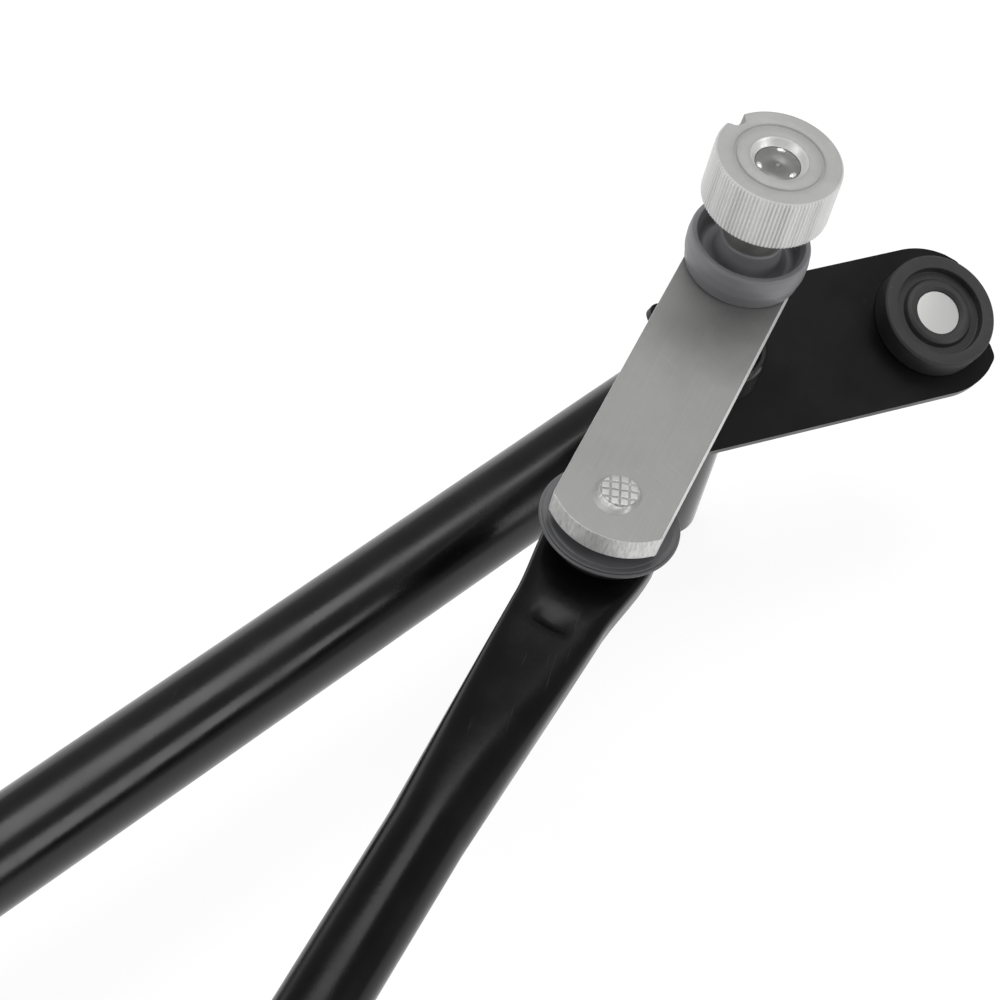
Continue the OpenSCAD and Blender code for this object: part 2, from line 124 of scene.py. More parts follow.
class Recipe:
    """Builds one material's nodes."""

    def __init__(self, name: str) -> None:
        """Args: name: the material's name."""
        self.material = bpy.data.materials.new(name)
        self.material.use_nodes = True
        self.tree = self.material.node_tree
        self.tree.nodes.clear()
        self.object_coords = self.node("ShaderNodeTexCoord").outputs["Object"]

    def node(self, kind: str, settings: dict | None = None, inputs: dict | None = None) -> bpy.types.Node:
        """Adds a node.

        Args:
            kind: the node's type.
            settings: its properties, set before its sockets.
            inputs: values or links, by socket name or number.

        Returns:
            The node.
        """
        node = self.tree.nodes.new(kind)
        for key, value in (settings or {}).items():
            setattr(node, key, value)
        for key, value in (inputs or {}).items():
            link = value.socket if isinstance(value, Signal) else value
            if isinstance(link, bpy.types.NodeSocket):
                self.tree.links.new(link, node.inputs[key])
            else:
                node.inputs[key].default_value = link
        return node

    def turned(self, heading: float, stretch: Sequence[float]) -> bpy.types.NodeSocket:
        """Object coordinates turned about Z and stretched.

        Args:
            heading: the angle that the pattern's own X takes, in radians.
            stretch: the pattern's scale along its own X, Y and Z.

        Returns:
            The coordinates' socket.
        """
        turn = self.node("ShaderNodeMapping", {"vector_type": "TEXTURE"},
                         {"Vector": self.object_coords, "Rotation": (0.0, 0.0, heading)})
        scale = self.node("ShaderNodeMapping", None, {"Vector": turn.outputs[0], "Scale": tuple(stretch)})
        return scale.outputs[0]

    def noise(self, scale: float, detail: float = 3.0, rough: float = 0.5,
              coords: bpy.types.NodeSocket | None = None) -> Signal:
        """Cloudy noise.

        Args:
            scale: how fine it is, in cycles per metre.
            detail: how many finer layers it has.
            rough: how strong those layers are.
            coords: the coordinates it reads, or None for plain object coordinates.

        Returns:
            A signal from 0 to 1.
        """
        node = self.node("ShaderNodeTexNoise", None, {
            "Vector": coords or self.object_coords, "Scale": scale, "Detail": detail, "Roughness": rough})
        return Signal(self, node.outputs[0])

    def cells(self, scale: float, feature: str = "F1") -> Signal:
        """Distance to the nearest of many scattered points, for specks and cast grain."""
        node = self.node("ShaderNodeTexVoronoi", {"feature": feature},
                         {"Vector": self.object_coords, "Scale": scale})
        return Signal(self, node.outputs["Distance"])

    def between(self, signal: Signal, low: float, high: float, out: Point = (0.0, 1.0)) -> Signal:
        """Carries the stretch from low to high smoothly onto another stretch.

        Args:
            signal: what is carried over.
            low: the value that gives the first of out.
            high: the value that gives the second of out.
            out: the two resulting values.

        Returns:
            The new signal, held within out.
        """
        node = self.node("ShaderNodeMapRange", {"interpolation_type": "SMOOTHSTEP"}, {
            "Value": signal, "From Min": low, "From Max": high, "To Min": out[0], "To Max": out[1]})
        return Signal(self, node.outputs[0])

    def blend(self, factor: Signal, first: object, second: object) -> bpy.types.NodeSocket:
        """Mixes two colours.

        Args:
            factor: 0 gives the first and 1 the second.
            first: a colour or a colour's socket.
            second: a colour or a colour's socket.

        Returns:
            The mixed colour's socket.
        """
        node = self.node("ShaderNodeMix", {"data_type": "RGBA"}, {0: factor})
        for number, value in ((6, first), (7, second)):
            if isinstance(value, bpy.types.NodeSocket):
                self.tree.links.new(value, node.inputs[number])
            else:
                node.inputs[number].default_value = (*value, 1.0)
        return node.outputs[2]

    def bump(self, height: Signal, depth: float, below: bpy.types.NodeSocket | None = None) -> bpy.types.NodeSocket:
        """Turns a height into a normal.

        Args:
            height: the height signal.
            depth: the height of a signal of 1, in metres.
            below: the normal that it is added to, or None.

        Returns:
            The normal's socket.
        """
        inputs = {"Height": height, "Distance": depth, "Strength": 1.0}
        if below is not None:
            inputs["Normal"] = below
        return self.node("ShaderNodeBump", None, inputs).outputs[0]

    def surface(self, constants: dict, varying: dict) -> bpy.types.Material:
        """Closes the recipe with a Principled shader.

        Args:
            constants: plain values of its sockets.
            varying: signals and sockets, by socket name.

        Returns:
            The finished material.
        """
        shader = self.node("ShaderNodeBsdfPrincipled", None, {**constants, **varying})
        self.node("ShaderNodeOutputMaterial", None, {"Surface": shader.outputs[0]})
        return self.material


# ---- Finishes ----


@dataclass(frozen=True)
class Finish:
    """A surface finish, made into one material the first time that it is used."""

    name: str

    def material(self) -> bpy.types.Material:
        """The finish's material."""
        return bpy.data.materials.get(self.name) or self.make(Recipe(self.name))

    def make(self, recipe: Recipe) -> bpy.types.Material:
        """Builds the material."""
        raise NotImplementedError


@dataclass(frozen=True)
class BlackCoat(Finish):
    """Black dip coat on steel: satin, with faint mottling, dust specks and light scuffs."""

    colour: Colour = (0.022, 0.022, 0.024)
    rough: float = 0.33
    mottle: float = 0.08
    ior: float = 1.33
    dust: float = 0.12

    def make(self, recipe: Recipe) -> bpy.types.Material:
        """Builds the material."""
        cloud = recipe.noise(55.0, 4.0, 0.6)
        peel = recipe.noise(900.0, 2.0, 0.5)
        speck = recipe.between(recipe.cells(420.0), 0.06, 0.02) * recipe.between(recipe.noise(160.0), 0.5, 0.62)
        scuff_coords = recipe.turned(0.5, (60.0, 1500.0, 500.0))
        scuff = recipe.between(recipe.noise(1.0, 2.0, 0.5, scuff_coords), 0.66, 0.78)
        scuff = scuff * recipe.between(recipe.noise(38.0, 2.0), 0.5, 0.7)
        pale = tuple(c + 0.05 for c in self.colour)
        base = recipe.blend(cloud, self.colour, tuple(c * 1.5 for c in self.colour))
        base = recipe.blend(scuff * 0.5, base, pale)
        base = recipe.blend(speck * self.dust, base, (0.22, 0.22, 0.22))
        rough = recipe.between(cloud, 0.3, 0.75, (self.rough - self.mottle, self.rough + self.mottle))
        return recipe.surface(
            {"IOR": self.ior, "Metallic": 0.0},
            {"Base Color": base, "Roughness": rough + scuff * 0.12, "Normal": recipe.bump(peel, 0.000012)})


@dataclass(frozen=True)
class ZincPlate(Finish):
    """Zinc plate on flat steel: satin grey, clouded, with fine scratches and a few dark marks."""

    heading: float = 0.0
    colour: Colour = (0.27, 0.27, 0.266)

    def make(self, recipe: Recipe) -> bpy.types.Material:
        """Builds the material."""
        cloud = recipe.noise(48.0, 4.0, 0.55)
        fine = recipe.noise(620.0, 3.0, 0.6)
        along = recipe.noise(1.0, 3.0, 0.6, recipe.turned(self.heading, (70.0, 2600.0, 2600.0)))
        across = recipe.noise(1.0, 2.0, 0.5, recipe.turned(self.heading + 1.2, (90.0, 3600.0, 900.0)))
        deep = recipe.between(across, 0.7, 0.8)
        marks = recipe.between(recipe.cells(95.0), 0.055, 0.03) * recipe.between(fine, 0.4, 0.6)
        base = recipe.blend(recipe.between(cloud, 0.3, 0.7), tuple(c * 0.86 for c in self.colour), self.colour)
        base = recipe.blend(recipe.between(along, 0.35, 0.7) * 0.12, base, tuple(c * 1.25 for c in self.colour))
        base = recipe.blend(deep * 0.3, base, (0.6, 0.6, 0.59))
        base = recipe.blend(marks * 0.75, base, (0.12, 0.115, 0.11))
        rough = recipe.between(cloud + fine * 0.4, 0.4, 1.0, (0.34, 0.5))
        normal = recipe.bump(along, 0.000006)
        normal = recipe.bump(deep, 0.00002, normal)
        return recipe.surface({"Metallic": 0.5, "IOR": 1.5},
                              {"Base Color": base, "Roughness": rough, "Normal": normal})


@dataclass(frozen=True)
class ShearedSteel(Finish):
    """The rough bare-steel face left where plate was sheared; its near-white colour is partly a painted edge
    highlight.
    """

    colour: Colour = (0.85, 0.85, 0.84)

    def make(self, recipe: Recipe) -> bpy.types.Material:
        """Builds the material."""
        tear = recipe.noise(1.0, 4.0, 0.65, recipe.turned(0.0, (1700.0, 1700.0, 420.0)))
        pits = recipe.between(tear, 0.36, 0.28)
        base = recipe.blend(recipe.between(tear, 0.3, 0.7), tuple(c * 0.72 for c in self.colour), self.colour)
        base = recipe.blend(pits * 0.7, base, (0.25, 0.25, 0.25))
        return recipe.surface({"Metallic": 0.4, "IOR": 1.5}, {
            "Base Color": base, "Roughness": recipe.between(tear, 0.3, 0.7, (0.55, 0.4)),
            "Normal": recipe.bump(tear, 0.00012)})


@dataclass(frozen=True)
class CastAlloy(Finish):
    """Die-cast alloy: pale, matt and finely grained."""

    colour: Colour = (0.66, 0.66, 0.655)
    rough: float = 0.5
    metal: float = 0.55

    def make(self, recipe: Recipe) -> bpy.types.Material:
        """Builds the material."""
        grain = recipe.noise(2400.0, 3.0, 0.6)
        cloud = recipe.noise(130.0, 4.0, 0.6)
        pits = recipe.between(recipe.cells(900.0), 0.12, 0.05) * recipe.between(cloud, 0.5, 0.6)
        base = recipe.blend(recipe.between(cloud, 0.35, 0.7), tuple(c * 0.9 for c in self.colour), self.colour)
        base = recipe.blend(pits * 0.5, base, tuple(c * 0.45 for c in self.colour))
        rough = recipe.between(grain, 0.3, 0.7, (self.rough - 0.07, self.rough + 0.07))
        return recipe.surface({"Metallic": self.metal, "IOR": 1.5}, {
            "Base Color": base, "Roughness": rough, "Normal": recipe.bump(grain, 0.00002)})


@dataclass(frozen=True)
class KnurledAlloy(Finish):
    """Die-cast teeth round an upright axis: a lighter copy of the drum's alloy as painted light on its side, with
    painted shade in the roots between the teeth and random darker grain.
    """

    axis: Point = (0.0, 0.0)
    rim: float = 0.0133
    depth: float = 0.00035
    # colour: lighter copy of the alloy, painted light on the drum's side; root: painted groove shade, also used for
    # random grain
    colour: Colour = (0.92, 0.92, 0.91)
    root: Colour = (0.6, 0.6, 0.6)

    def make(self, recipe: Recipe) -> bpy.types.Material:
        """Builds the material."""
        split = recipe.node("ShaderNodeSeparateXYZ", None, {"Vector": recipe.object_coords})
        x, y = (Signal(recipe, split.outputs[i]) - self.axis[i] for i in (0, 1))
        # painted shade mask: 0 in the roots between teeth, where grooves are shaded, 1 on the crowns
        unshaded_crown = recipe.between((x * x + y * y) ** 0.5, self.rim - self.depth, self.rim)
        grain = recipe.noise(1500.0, 3.0, 0.6)
        # crowns take the lighter copy, roots the painted groove shade
        base = recipe.blend(unshaded_crown, self.root, self.colour)
        base = recipe.blend(recipe.between(grain, 0.55, 0.75) * 0.2, base, self.root)
        rough = recipe.between(grain, 0.3, 0.7, (0.36, 0.5))
        return recipe.surface({"Metallic": 0.1, "IOR": 1.5}, {
            "Base Color": base, "Roughness": rough, "Normal": recipe.bump(grain, 0.000015)})


@dataclass(frozen=True)
class PlainSteel(Finish):
    """Plated or oiled steel of small fasteners, with soft cloudy wear."""

    colour: Colour = (0.52, 0.52, 0.51)
    rough: float = 0.36
    metal: float = 0.95

    def make(self, recipe: Recipe) -> bpy.types.Material:
        """Builds the material."""
        cloud = recipe.noise(260.0, 4.0, 0.6)
        fine = recipe.noise(1800.0, 2.0, 0.5)
        base = recipe.blend(recipe.between(cloud, 0.3, 0.7), tuple(c * 0.75 for c in self.colour), self.colour)
        rough = recipe.between(cloud, 0.3, 0.7, (self.rough + 0.1, self.rough - 0.06))
        return recipe.surface({"Metallic": self.metal, "IOR": 1.5}, {
            "Base Color": base, "Roughness": rough, "Normal": recipe.bump(fine, 0.00001)})


@dataclass(frozen=True)
class Rubber(Finish):
    """Moulded rubber with a faint bloom."""

    colour: Colour = (0.1, 0.1, 0.105)
    rough: float = 0.5
    bloom: float = 0.4

    def make(self, recipe: Recipe) -> bpy.types.Material:
        """Builds the material."""
        cloud = recipe.noise(120.0, 4.0, 0.6)
        skin = recipe.noise(1500.0, 3.0, 0.6)
        speck = recipe.between(recipe.cells(520.0), 0.07, 0.03) * recipe.between(cloud, 0.5, 0.6)
        pale = tuple(c * 1.0 + 0.045 for c in self.colour)
        base = recipe.blend(recipe.between(cloud, 0.4, 0.8) * self.bloom, self.colour, pale)
        base = recipe.blend(speck * 0.4, base, (0.3, 0.3, 0.3))
        rough = recipe.between(cloud, 0.3, 0.7, (self.rough - 0.06, self.rough + 0.08))
        return recipe.surface({"IOR": 1.5, "Metallic": 0.0}, {
            "Base Color": base, "Roughness": rough, "Normal": recipe.bump(skin, 0.000012)})


class Look(Enum):
    """The finishes of the linkage's pieces that don't depend on where a piece lies."""

    FRAME = BlackCoat("frame_black_coat", (0.003, 0.003, 0.0034), 0.24, 0.06, 1.42)
    HOUSING = BlackCoat("housing_gloss_black", (0.012, 0.012, 0.013), 0.17, 0.04, 1.6)
    LINK = BlackCoat("link_black_coat", (0.002, 0.002, 0.0023), 0.25, 0.07, 1.28)
    BRACKET = BlackCoat("bracket_matt_black", (0.004, 0.0038, 0.004), 0.36, 0.08, 1.3)
    # partly painted highlight: bare sheared steel, made near-white for the bright lever edges
    SHEARED = ShearedSteel("sheared_edge_painted_highlight")
    # painted shade: the drum's top is a darker copy of the same die-cast alloy as its knurled side
    DRUM_TOP = CastAlloy("cast_alloy_top_shaded_copy", (0.42, 0.42, 0.415), 0.58, 0.15)
    # painted highlight: the dish over the shaft is a brighter, glossier copy of the same alloy
    DISH = CastAlloy("cast_alloy_dish_painted_highlight", (0.78, 0.78, 0.77), 0.42, 0.4)
    # painted highlight: the stakes are the shaft's steel coloured near-white
    STAKE = PlainSteel("stake_painted_highlight", (0.92, 0.92, 0.9), 0.22, 0.5)
    # painted shade: steel darkened for the shade in the drum's recess and under the drum
    SHAFT = PlainSteel("shaft_steel_painted_shade", (0.2, 0.2, 0.195), 0.36, 0.3)
    RIVET_HEAD = CastAlloy("riveted_steel", (0.46, 0.46, 0.45), 0.42, 0.4)
    PIN = PlainSteel("pin_steel", (0.53, 0.53, 0.52), 0.38, 0.5)
    WASHER = PlainSteel("zinc_washer")
    SET_RIVET = PlainSteel("set_rivet_steel", (0.09, 0.09, 0.09), 0.4, 0.7)
    BRONZE = PlainSteel("bearing_bronze", (0.42, 0.27, 0.12), 0.42, 0.95)
    CUP_RUBBER = Rubber("cup_grey_rubber", (0.22, 0.22, 0.23), 0.4, 0.15)
    SEAL_RUBBER = Rubber("seal_grey_rubber", (0.1, 0.1, 0.105), 0.4, 0.4)
    GROMMET_RUBBER = Rubber("grommet_black_rubber", (0.019, 0.019, 0.02), 0.55, 0.3)
    SOCKET_PLASTIC = Rubber("socket_black_plastic", (0.02, 0.02, 0.02), 0.36, 0.1)

    def material(self) -> bpy.types.Material:
        """The finish's material."""
        return self.value.material()


# ---- Outlines ----


def arc(centre: Point, radius: float, start: float, end: float, steps: int) -> list[Point]:
    """Points along an arc.

    Args:
        centre: the arc's centre.
        radius: its radius.
        start: the angle of the first point, in degrees.
        end: the angle of the last point, in degrees.
        steps: how many pieces it has.

    Returns:
        steps + 1 points.
    """
    angles = [math.radians(start + (end - start) * i / steps) for i in range(steps + 1)]
    return [(centre[0] + radius * math.cos(a), centre[1] + radius * math.sin(a)) for a in angles]


def eased(corners: Sequence[tuple[float, float, float]], steps: int = 4, closed: bool = True) -> list[Point]:
    """Rounds the corners of an outline.

    Args:
        corners: x, y and the corner's radius, in order round the outline.
        steps: how many pieces each rounded corner has.
        closed: whether the last corner joins the first.

    Returns:
        The outline's points.
    """
    points: list[Point] = []
    count = len(corners)
    for i, (x, y, radius) in enumerate(corners):
        if radius <= 0.0 or (not closed and i in (0, count - 1)):
            points.append((x, y))
            continue
        here = Vector((x, y))
        before = Vector(corners[i - 1][:2]) - here
        after = Vector(corners[(i + 1) % count][:2]) - here
        half = before.angle(after) / 2
        reach = min(radius / math.tan(half), before.length * 0.49, after.length * 0.49)
        first = here + before.normalized() * reach
        last = here + after.normalized() * reach
        for j in range(steps + 1):
            t = j / steps
            bend = here.lerp(first, 1 - t).lerp(here.lerp(last, t), t)
            points.append((bend.x, bend.y))
    return points


# ---- Meshes ----


def turned_shape(profile: Sequence[Point], steps: int = 96) -> bmesh.types.BMesh:
    """Spins a profile about Z.

    Args:
        profile: radius and height of each point. A profile that leaves the axis is closed on itself.
        steps: how many pieces a full turn has.

    Returns:
        The closed shape.
    """
    bm = bmesh.new()
    verts = [bm.verts.new((r, 0.0, z)) for r, z in profile]
    edges = [bm.edges.new(pair) for pair in zip(verts, verts[1:])]
    if profile[0][0] > 0.0 or profile[-1][0] > 0.0:
        edges.append(bm.edges.new((verts[-1], verts[0])))
    bmesh.ops.spin(bm, geom=verts + edges, cent=(0, 0, 0), axis=(0, 0, 1), dvec=(0, 0, 0),
                   angle=2 * math.pi, steps=steps, use_merge=True)
    bmesh.ops.remove_doubles(bm, verts=bm.verts, dist=1e-5)
    return bm


def slab(outline: Sequence[Point], holes: Sequence[Sequence[Point]], low: float, high: float,
         edge: float = 0.35) -> bmesh.types.BMesh:
    """A flat plate with holes and rounded edges.

    Args:
        outline: the plate's outline.
        holes: the outlines of its holes.
        low: the height of its underside.
        high: the height of its top.
        edge: how far its edges are rounded, or 0.

    Returns:
        The closed shape.
    """
    bm = bmesh.new()
    rims = []
    for loop in (outline, *holes):
        verts = [bm.verts.new((x, y, low)) for x, y in loop]
        rims += [bm.edges.new(pair) for pair in zip(verts, verts[1:] + verts[:1])]
    bmesh.ops.triangle_fill(bm, edges=rims, use_beauty=True)
    sheet = bmesh.ops.extrude_face_region(bm, geom=list(bm.faces), use_keep_orig=True)
    risen = [g for g in sheet["geom"] if isinstance(g, bmesh.types.BMVert)]
    bmesh.ops.translate(bm, verts=risen, vec=(0.0, 0.0, high - low))
    bmesh.ops.recalc_face_normals(bm, faces=bm.faces)
    if edge > 0.0:
        corners = [e for e in bm.edges if len(e.link_faces) == 2
                   and abs(e.link_faces[0].normal.z - e.link_faces[1].normal.z) > 0.5]
        bmesh.ops.bevel(bm, geom=corners, offset=edge, offset_type="OFFSET", affect="EDGES",
                        segments=3, profile=0.5, material=-1, clamp_overlap=True)
    return bm


def swept_rings(rings: Sequence[Sequence[Vector]], closed_ends: bool = True) -> bmesh.types.BMesh:
    """Bridges a row of rings that have as many points each.

    Args:
        rings: the rings, in order.
        closed_ends: whether the first and last ring get a face.

    Returns:
        The shape.
    """
    bm = bmesh.new()
    last: list[bmesh.types.BMEdge] = []
    for number, ring in enumerate(rings):
        verts = bmesh.ops.create_circle(bm, segments=len(ring), radius=1.0)["verts"]
        for vert, place in zip(verts, ring):
            vert.co = place
        edges = list({e for v in verts for e in v.link_edges if e.other_vert(v) in verts})
        if closed_ends and number in (0, len(rings) - 1):
            bm.faces.new(verts)
        if last:
            bmesh.ops.bridge_loops(bm, edges=last + edges)
        last = edges
    return bm


@dataclass(frozen=True)
class Place:
    """Where a piece's own frame lies in the linkage."""

    origin: Vector
    heading: float = 0.0
    side: float = 1.0
    up: float = 1.0
    lean: float = 0.0

    def matrix(self) -> Matrix:
        """Carries a shape from its own frame, in millimetres, into the linkage, in metres."""
        flip = Matrix.Diagonal((MM, MM * self.side, MM * self.up, 1.0))
        turn = Matrix.Rotation(self.heading, 4, "Z") @ Matrix.Rotation(self.lean, 4, "X")
        return Matrix.Translation(self.origin) @ turn @ flip

    def moved(self, x: float, y: float) -> "Place":
        """The same frame with its origin moved along its own X and Y, in millimetres."""
        return replace(self, origin=self.matrix() @ Vector((x, y, 0.0)))


@dataclass
class Piece:
    """One finished piece: its shape, what it rides on, what it stands for and what it is made of."""

    name: str
    body: str
    slot: str
    finishes: Sequence[object]
    replaces: Sequence[str] = ()
    crease: float = 32.0
    even: bool = False
    sorter: Callable[[bmesh.types.BMFace], int] | None = None

    def make(self, bm: bmesh.types.BMesh, place: Place) -> bpy.types.Object:
        """Turns a shape into the piece's object.

        Args:
            bm: the shape, in its own frame. It is used up.
            place: where that frame lies.

        Returns:
            The object, at the origin, with its place in its mesh.
        """
        if self.sorter is not None:
            bm.normal_update()
            for face in bm.faces:
                face.material_index = self.sorter(face)
        bmesh.ops.transform(bm, matrix=place.matrix(), verts=bm.verts)
        bmesh.ops.recalc_face_normals(bm, faces=bm.faces)
        for face in bm.faces:
            face.smooth = True
        for edge in bm.edges:
            edge.smooth = not (edge.is_manifold and edge.calc_face_angle() > math.radians(self.crease))
        mesh = bpy.data.meshes.new(self.name)
        bm.to_mesh(mesh)
        bm.free()
        for finish in self.finishes:
            mesh.materials.append(finish.material())
        thing = bpy.data.objects.new(self.name, mesh)
        bpy.context.scene.collection.objects.link(thing)
        if self.even:
            weigh = thing.modifiers.new("even_shading", "WEIGHTED_NORMAL")
            weigh.keep_sharp = True
            weigh.weight = 100
        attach(thing, self.body)
        if self.replaces:
            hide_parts(*self.replaces)
        LOG.info("%s: %d faces on %s", self.name, len(mesh.polygons), self.body)
        return thing


def rims_to_second(face: bmesh.types.BMFace) -> int:
    """Sorts a plate's upright faces and rounded edges to its second finish, so the rounded edges take the painted edge
    highlight too.
    """
    return 1 if abs(face.normal.z) < 0.85 else 0


# ---- What the frame says ----


def height(node: str) -> tuple[float, float]:
    """The lowest and highest point of a CAD node, in millimetres."""
    low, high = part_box(node)
    return low.z / MM, high.z / MM


def width(node: str) -> float:
    """The size of a round CAD node across X, in millimetres."""
    low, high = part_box(node)
    return (high.x - low.x) / MM


def centre(node: str) -> Vector:
    """The middle of a CAD node in plan, at height zero."""
    low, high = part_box(node)
    return Vector(((low.x + high.x) / 2, (low.y + high.y) / 2, 0.0))


def joint_point(name: str) -> Vector:
    """The point that a joint turns about."""
    rows = frame["record"]["behaviour"]["joints"]
    return Vector(next(row["pos_m"] for row in rows if row["name"] == name))


def mount_point(name: str) -> Vector:
    """The point of a mount."""
    rows = frame["record"]["mounts"]
    return Vector(next(row["pos_m"] for row in rows if row["name"] == name))


def heading_of(direction: Vector) -> float:
    """The angle of a direction in plan, in radians."""
    return math.atan2(direction.y, direction.x)


class End(Enum):
    """The linkage's two ends: the mirror of the right end's plan, and the way its ball joint hangs."""

    RIGHT = ("right", 1.0, 1.0)
    LEFT = ("left", -1.0, -1.0)

    @property
    def label(self) -> str:
        """The word that the end's nodes start with."""
        return self.value[0]

    @property
    def side(self) -> float:
        """1 for the right end's plan and -1 for its mirror image."""
        return self.value[1]

    @property
    def up(self) -> float:
        """1 where the lever is above its ball and -1 where it is below."""
        return self.value[2]


# ---- Sub-assemblies ----


@dataclass
class PivotArm:
    """What turns in one housing: shaft, knurled drum, cup seal, lever and ball stud."""

    end: End
    teeth: int = 104
    tooth_depth: float = 0.3
    ring_radius: float = 9.1
    ring_width: float = 0.6
    ring_depth: float = 0.4
    recess_radius: float = 6.0
    recess_depth: float = 1.7
    stake_radius: float = 4.0
    stake_angle: float = 31.0
    notch_angle: float = 86.0
    notch_width: float = 5.0
    notch_root: float = 1.6
    notch_reach: float = 2.4
    notch_depth: float = 3.0
    lever_width: float = 22.6
    nose_radius: float = 14.5
    nose_out: float = 11.7
    seat_radius: float = 5.5
    shank_radius: float = 4.0
    ball_radius: float = 7.0
    neck_radius: float = 3.6
    head_radius: float = 3.95
    skirt: float = 0.55
    waffle_pitch: float = 1.9

    def __post_init__(self) -> None:
        """Finds the pivot, the ball and the lever's heading."""
        self.body = f"{self.end.label}_arm"
        self.pivot = joint_point(f"{self.end.label}_lever_swing")
        self.ball = joint_point(f"{self.end.label}_link_swing")
        self.reach = (self.ball - self.pivot).xy.length / MM
        self.heading = heading_of(self.ball - self.pivot)

    def node(self, word: str) -> str:
        """The name of one of this end's CAD nodes."""
        return f"{self.end.label}_{word}"

    def build(self) -> None:
        """Makes every piece of the arm."""
        self.drum()
        self.shaft()
        self.cup()
        self.lever()
        self.ball_stud()

    def drum(self) -> None:
        """The die-cast drum with its straight knurl, rim notch, ring groove and recess."""
        low, high = height(self.node("drum"))
        rim = width(self.node("drum")) / 2
        top = high - low
        ring_in = self.ring_radius - self.ring_width / 2
        ring_out = self.ring_radius + self.ring_width / 2
        notch_r = rim - self.notch_reach
        side = [(rim - 0.5, 0.0), (rim - 0.12, 0.25), (rim, 0.6), (rim, top * 0.35), (rim, top * 0.7),
                (rim, top - 0.75), (rim - 0.05, top - 0.35), (rim - 0.3, top - 0.08), (rim - 0.5, top)]
        profile = [(4.8, 0.0), *side, *((rim - step, top) for step in (0.9, 1.3, 1.7, 2.1)),
                   (notch_r + 0.12, top), (notch_r, top), (ring_out + 0.12, top),
                   (ring_out, top - 0.1), (ring_out - 0.15, top - self.ring_depth),
                   (ring_in + 0.15, top - self.ring_depth), (ring_in, top - 0.1), (ring_in - 0.12, top),
                   (self.recess_radius + 0.25, top), (self.recess_radius, top - 0.12),
                   (5.6, top - 0.5), (5.1, top - self.recess_depth + 0.2), (4.8, top - self.recess_depth)]
        bm = turned_shape(profile, self.teeth * 6)
        notch = math.radians(self.notch_angle)
        if self.end is End.LEFT:
            notch = math.pi - notch
        for vert in bm.verts:
            self.cut_tooth(vert, rim, top)
            radius = vert.co.xy.length
            turn = (math.atan2(vert.co.y, vert.co.x) - notch + math.pi) % (2 * math.pi) - math.pi
            share = (radius - notch_r) / self.notch_reach
            wide = self.notch_root + (self.notch_width - self.notch_root) * share
            if share > 0.02 and abs(turn) * radius < wide / 2:
                vert.co.z = min(vert.co.z, top - self.notch_depth)
        # top, knurl and dish take darker and lighter copies of one alloy: painted shade, painted light and a painted
        # highlight
        knurl = KnurledAlloy(self.node("drum_knurl_painted_light"), tuple(self.pivot.xy), rim * MM)
        Piece(self.node("knurled_drum"), self.body, "drum_alloy", (Look.DRUM_TOP, knurl, Look.DISH),
              (self.node("drum"),), crease=40.0, sorter=lambda face: self.drum_part(face, rim, top)).make(
            bm, Place(self.pivot + Vector((0, 0, low * MM))))

    def drum_part(self, face: bmesh.types.BMFace, rim: float, top: float) -> int:
        """Sorts a face of the drum: 0 for its top, 1 for the knurl and 2 for the dish over the shaft. The three are
        darker and lighter copies of one alloy: painted shade on the top, painted light on the knurl and a painted
        highlight in the dish.
        """
        middle = face.calc_center_median()
        if middle.xy.length > rim - 0.45:
            return 1
        return 2 if middle.xy.length < self.recess_radius and middle.z > top / 2 else 0

    def cut_tooth(self, vert: bmesh.types.BMVert, rim: float, top: float) -> None:
        """Draws one vertex of the drum's side in where it lies between two teeth.

        Args:
            vert: the vertex, in the drum's own frame.
            rim: the drum's radius.
            top: the drum's height.
        """
        radius = vert.co.xy.length
        if radius < rim - 0.4:
            return
        angle = math.atan2(vert.co.y, vert.co.x)
        wave = 0.5 - 0.5 * math.cos(angle * self.teeth)
        uneven = 0.78 + 0.22 * math.sin(angle * 7.0 + 1.3) * math.sin(angle * 17.0)
        fade = min(1.0, max(0.35, (top - vert.co.z) / 0.4))
        vert.co.xy = vert.co.xy * (1.0 - self.tooth_depth * uneven * fade * wave ** 0.8 / radius)

    def shaft(self) -> None:
        """The pivot shaft, with its clip groove, lever seat, neck and centre-drilled end, in steel darkened as painted
        shade of the drum's recess and the space under the drum.
        """
        low, high = height(self.node("shaft"))
        lever_low, lever_high = height(self.node("lever"))
        clip_low, clip_high = height(self.node("retaining_clip"))
        drum_low, _ = height(self.node("drum"))
        neck = width(self.node("shaft")) / 2
        body = 5.0
        high += 0.8 - self.recess_depth
        profile = [(0.0, low + 1.0), (1.2, low), (body - 0.8, low), (body, low + 0.8), (body, clip_low),
                   (body - 0.8, clip_low + 0.02), (body - 0.8, clip_high - 0.02), (body, clip_high),
                   (body, lever_low), (self.seat_radius, lever_low + 0.02),
                   (self.seat_radius, lever_high - 0.02), (neck, lever_high + 0.02),
                   (neck, drum_low - 0.5), (neck - 0.5, drum_low), (4.8, drum_low + 0.02),
                   (4.8, high - 0.6), (4.7, high - 0.12), (4.4, high), (2.6, high - 0.15), (1.0, high - 0.2),
                   (0.85, high - 0.3), (0.0, high - 0.9)]
        # painted shade: the shaft's darkened steel
        Piece(self.node("pivot_shaft"), self.body, "stud_steel", (Look.SHAFT,), (self.node("shaft"),)).make(
            turned_shape(profile), Place(Vector((self.pivot.x, self.pivot.y, 0.0))))
        self.stakes(high)

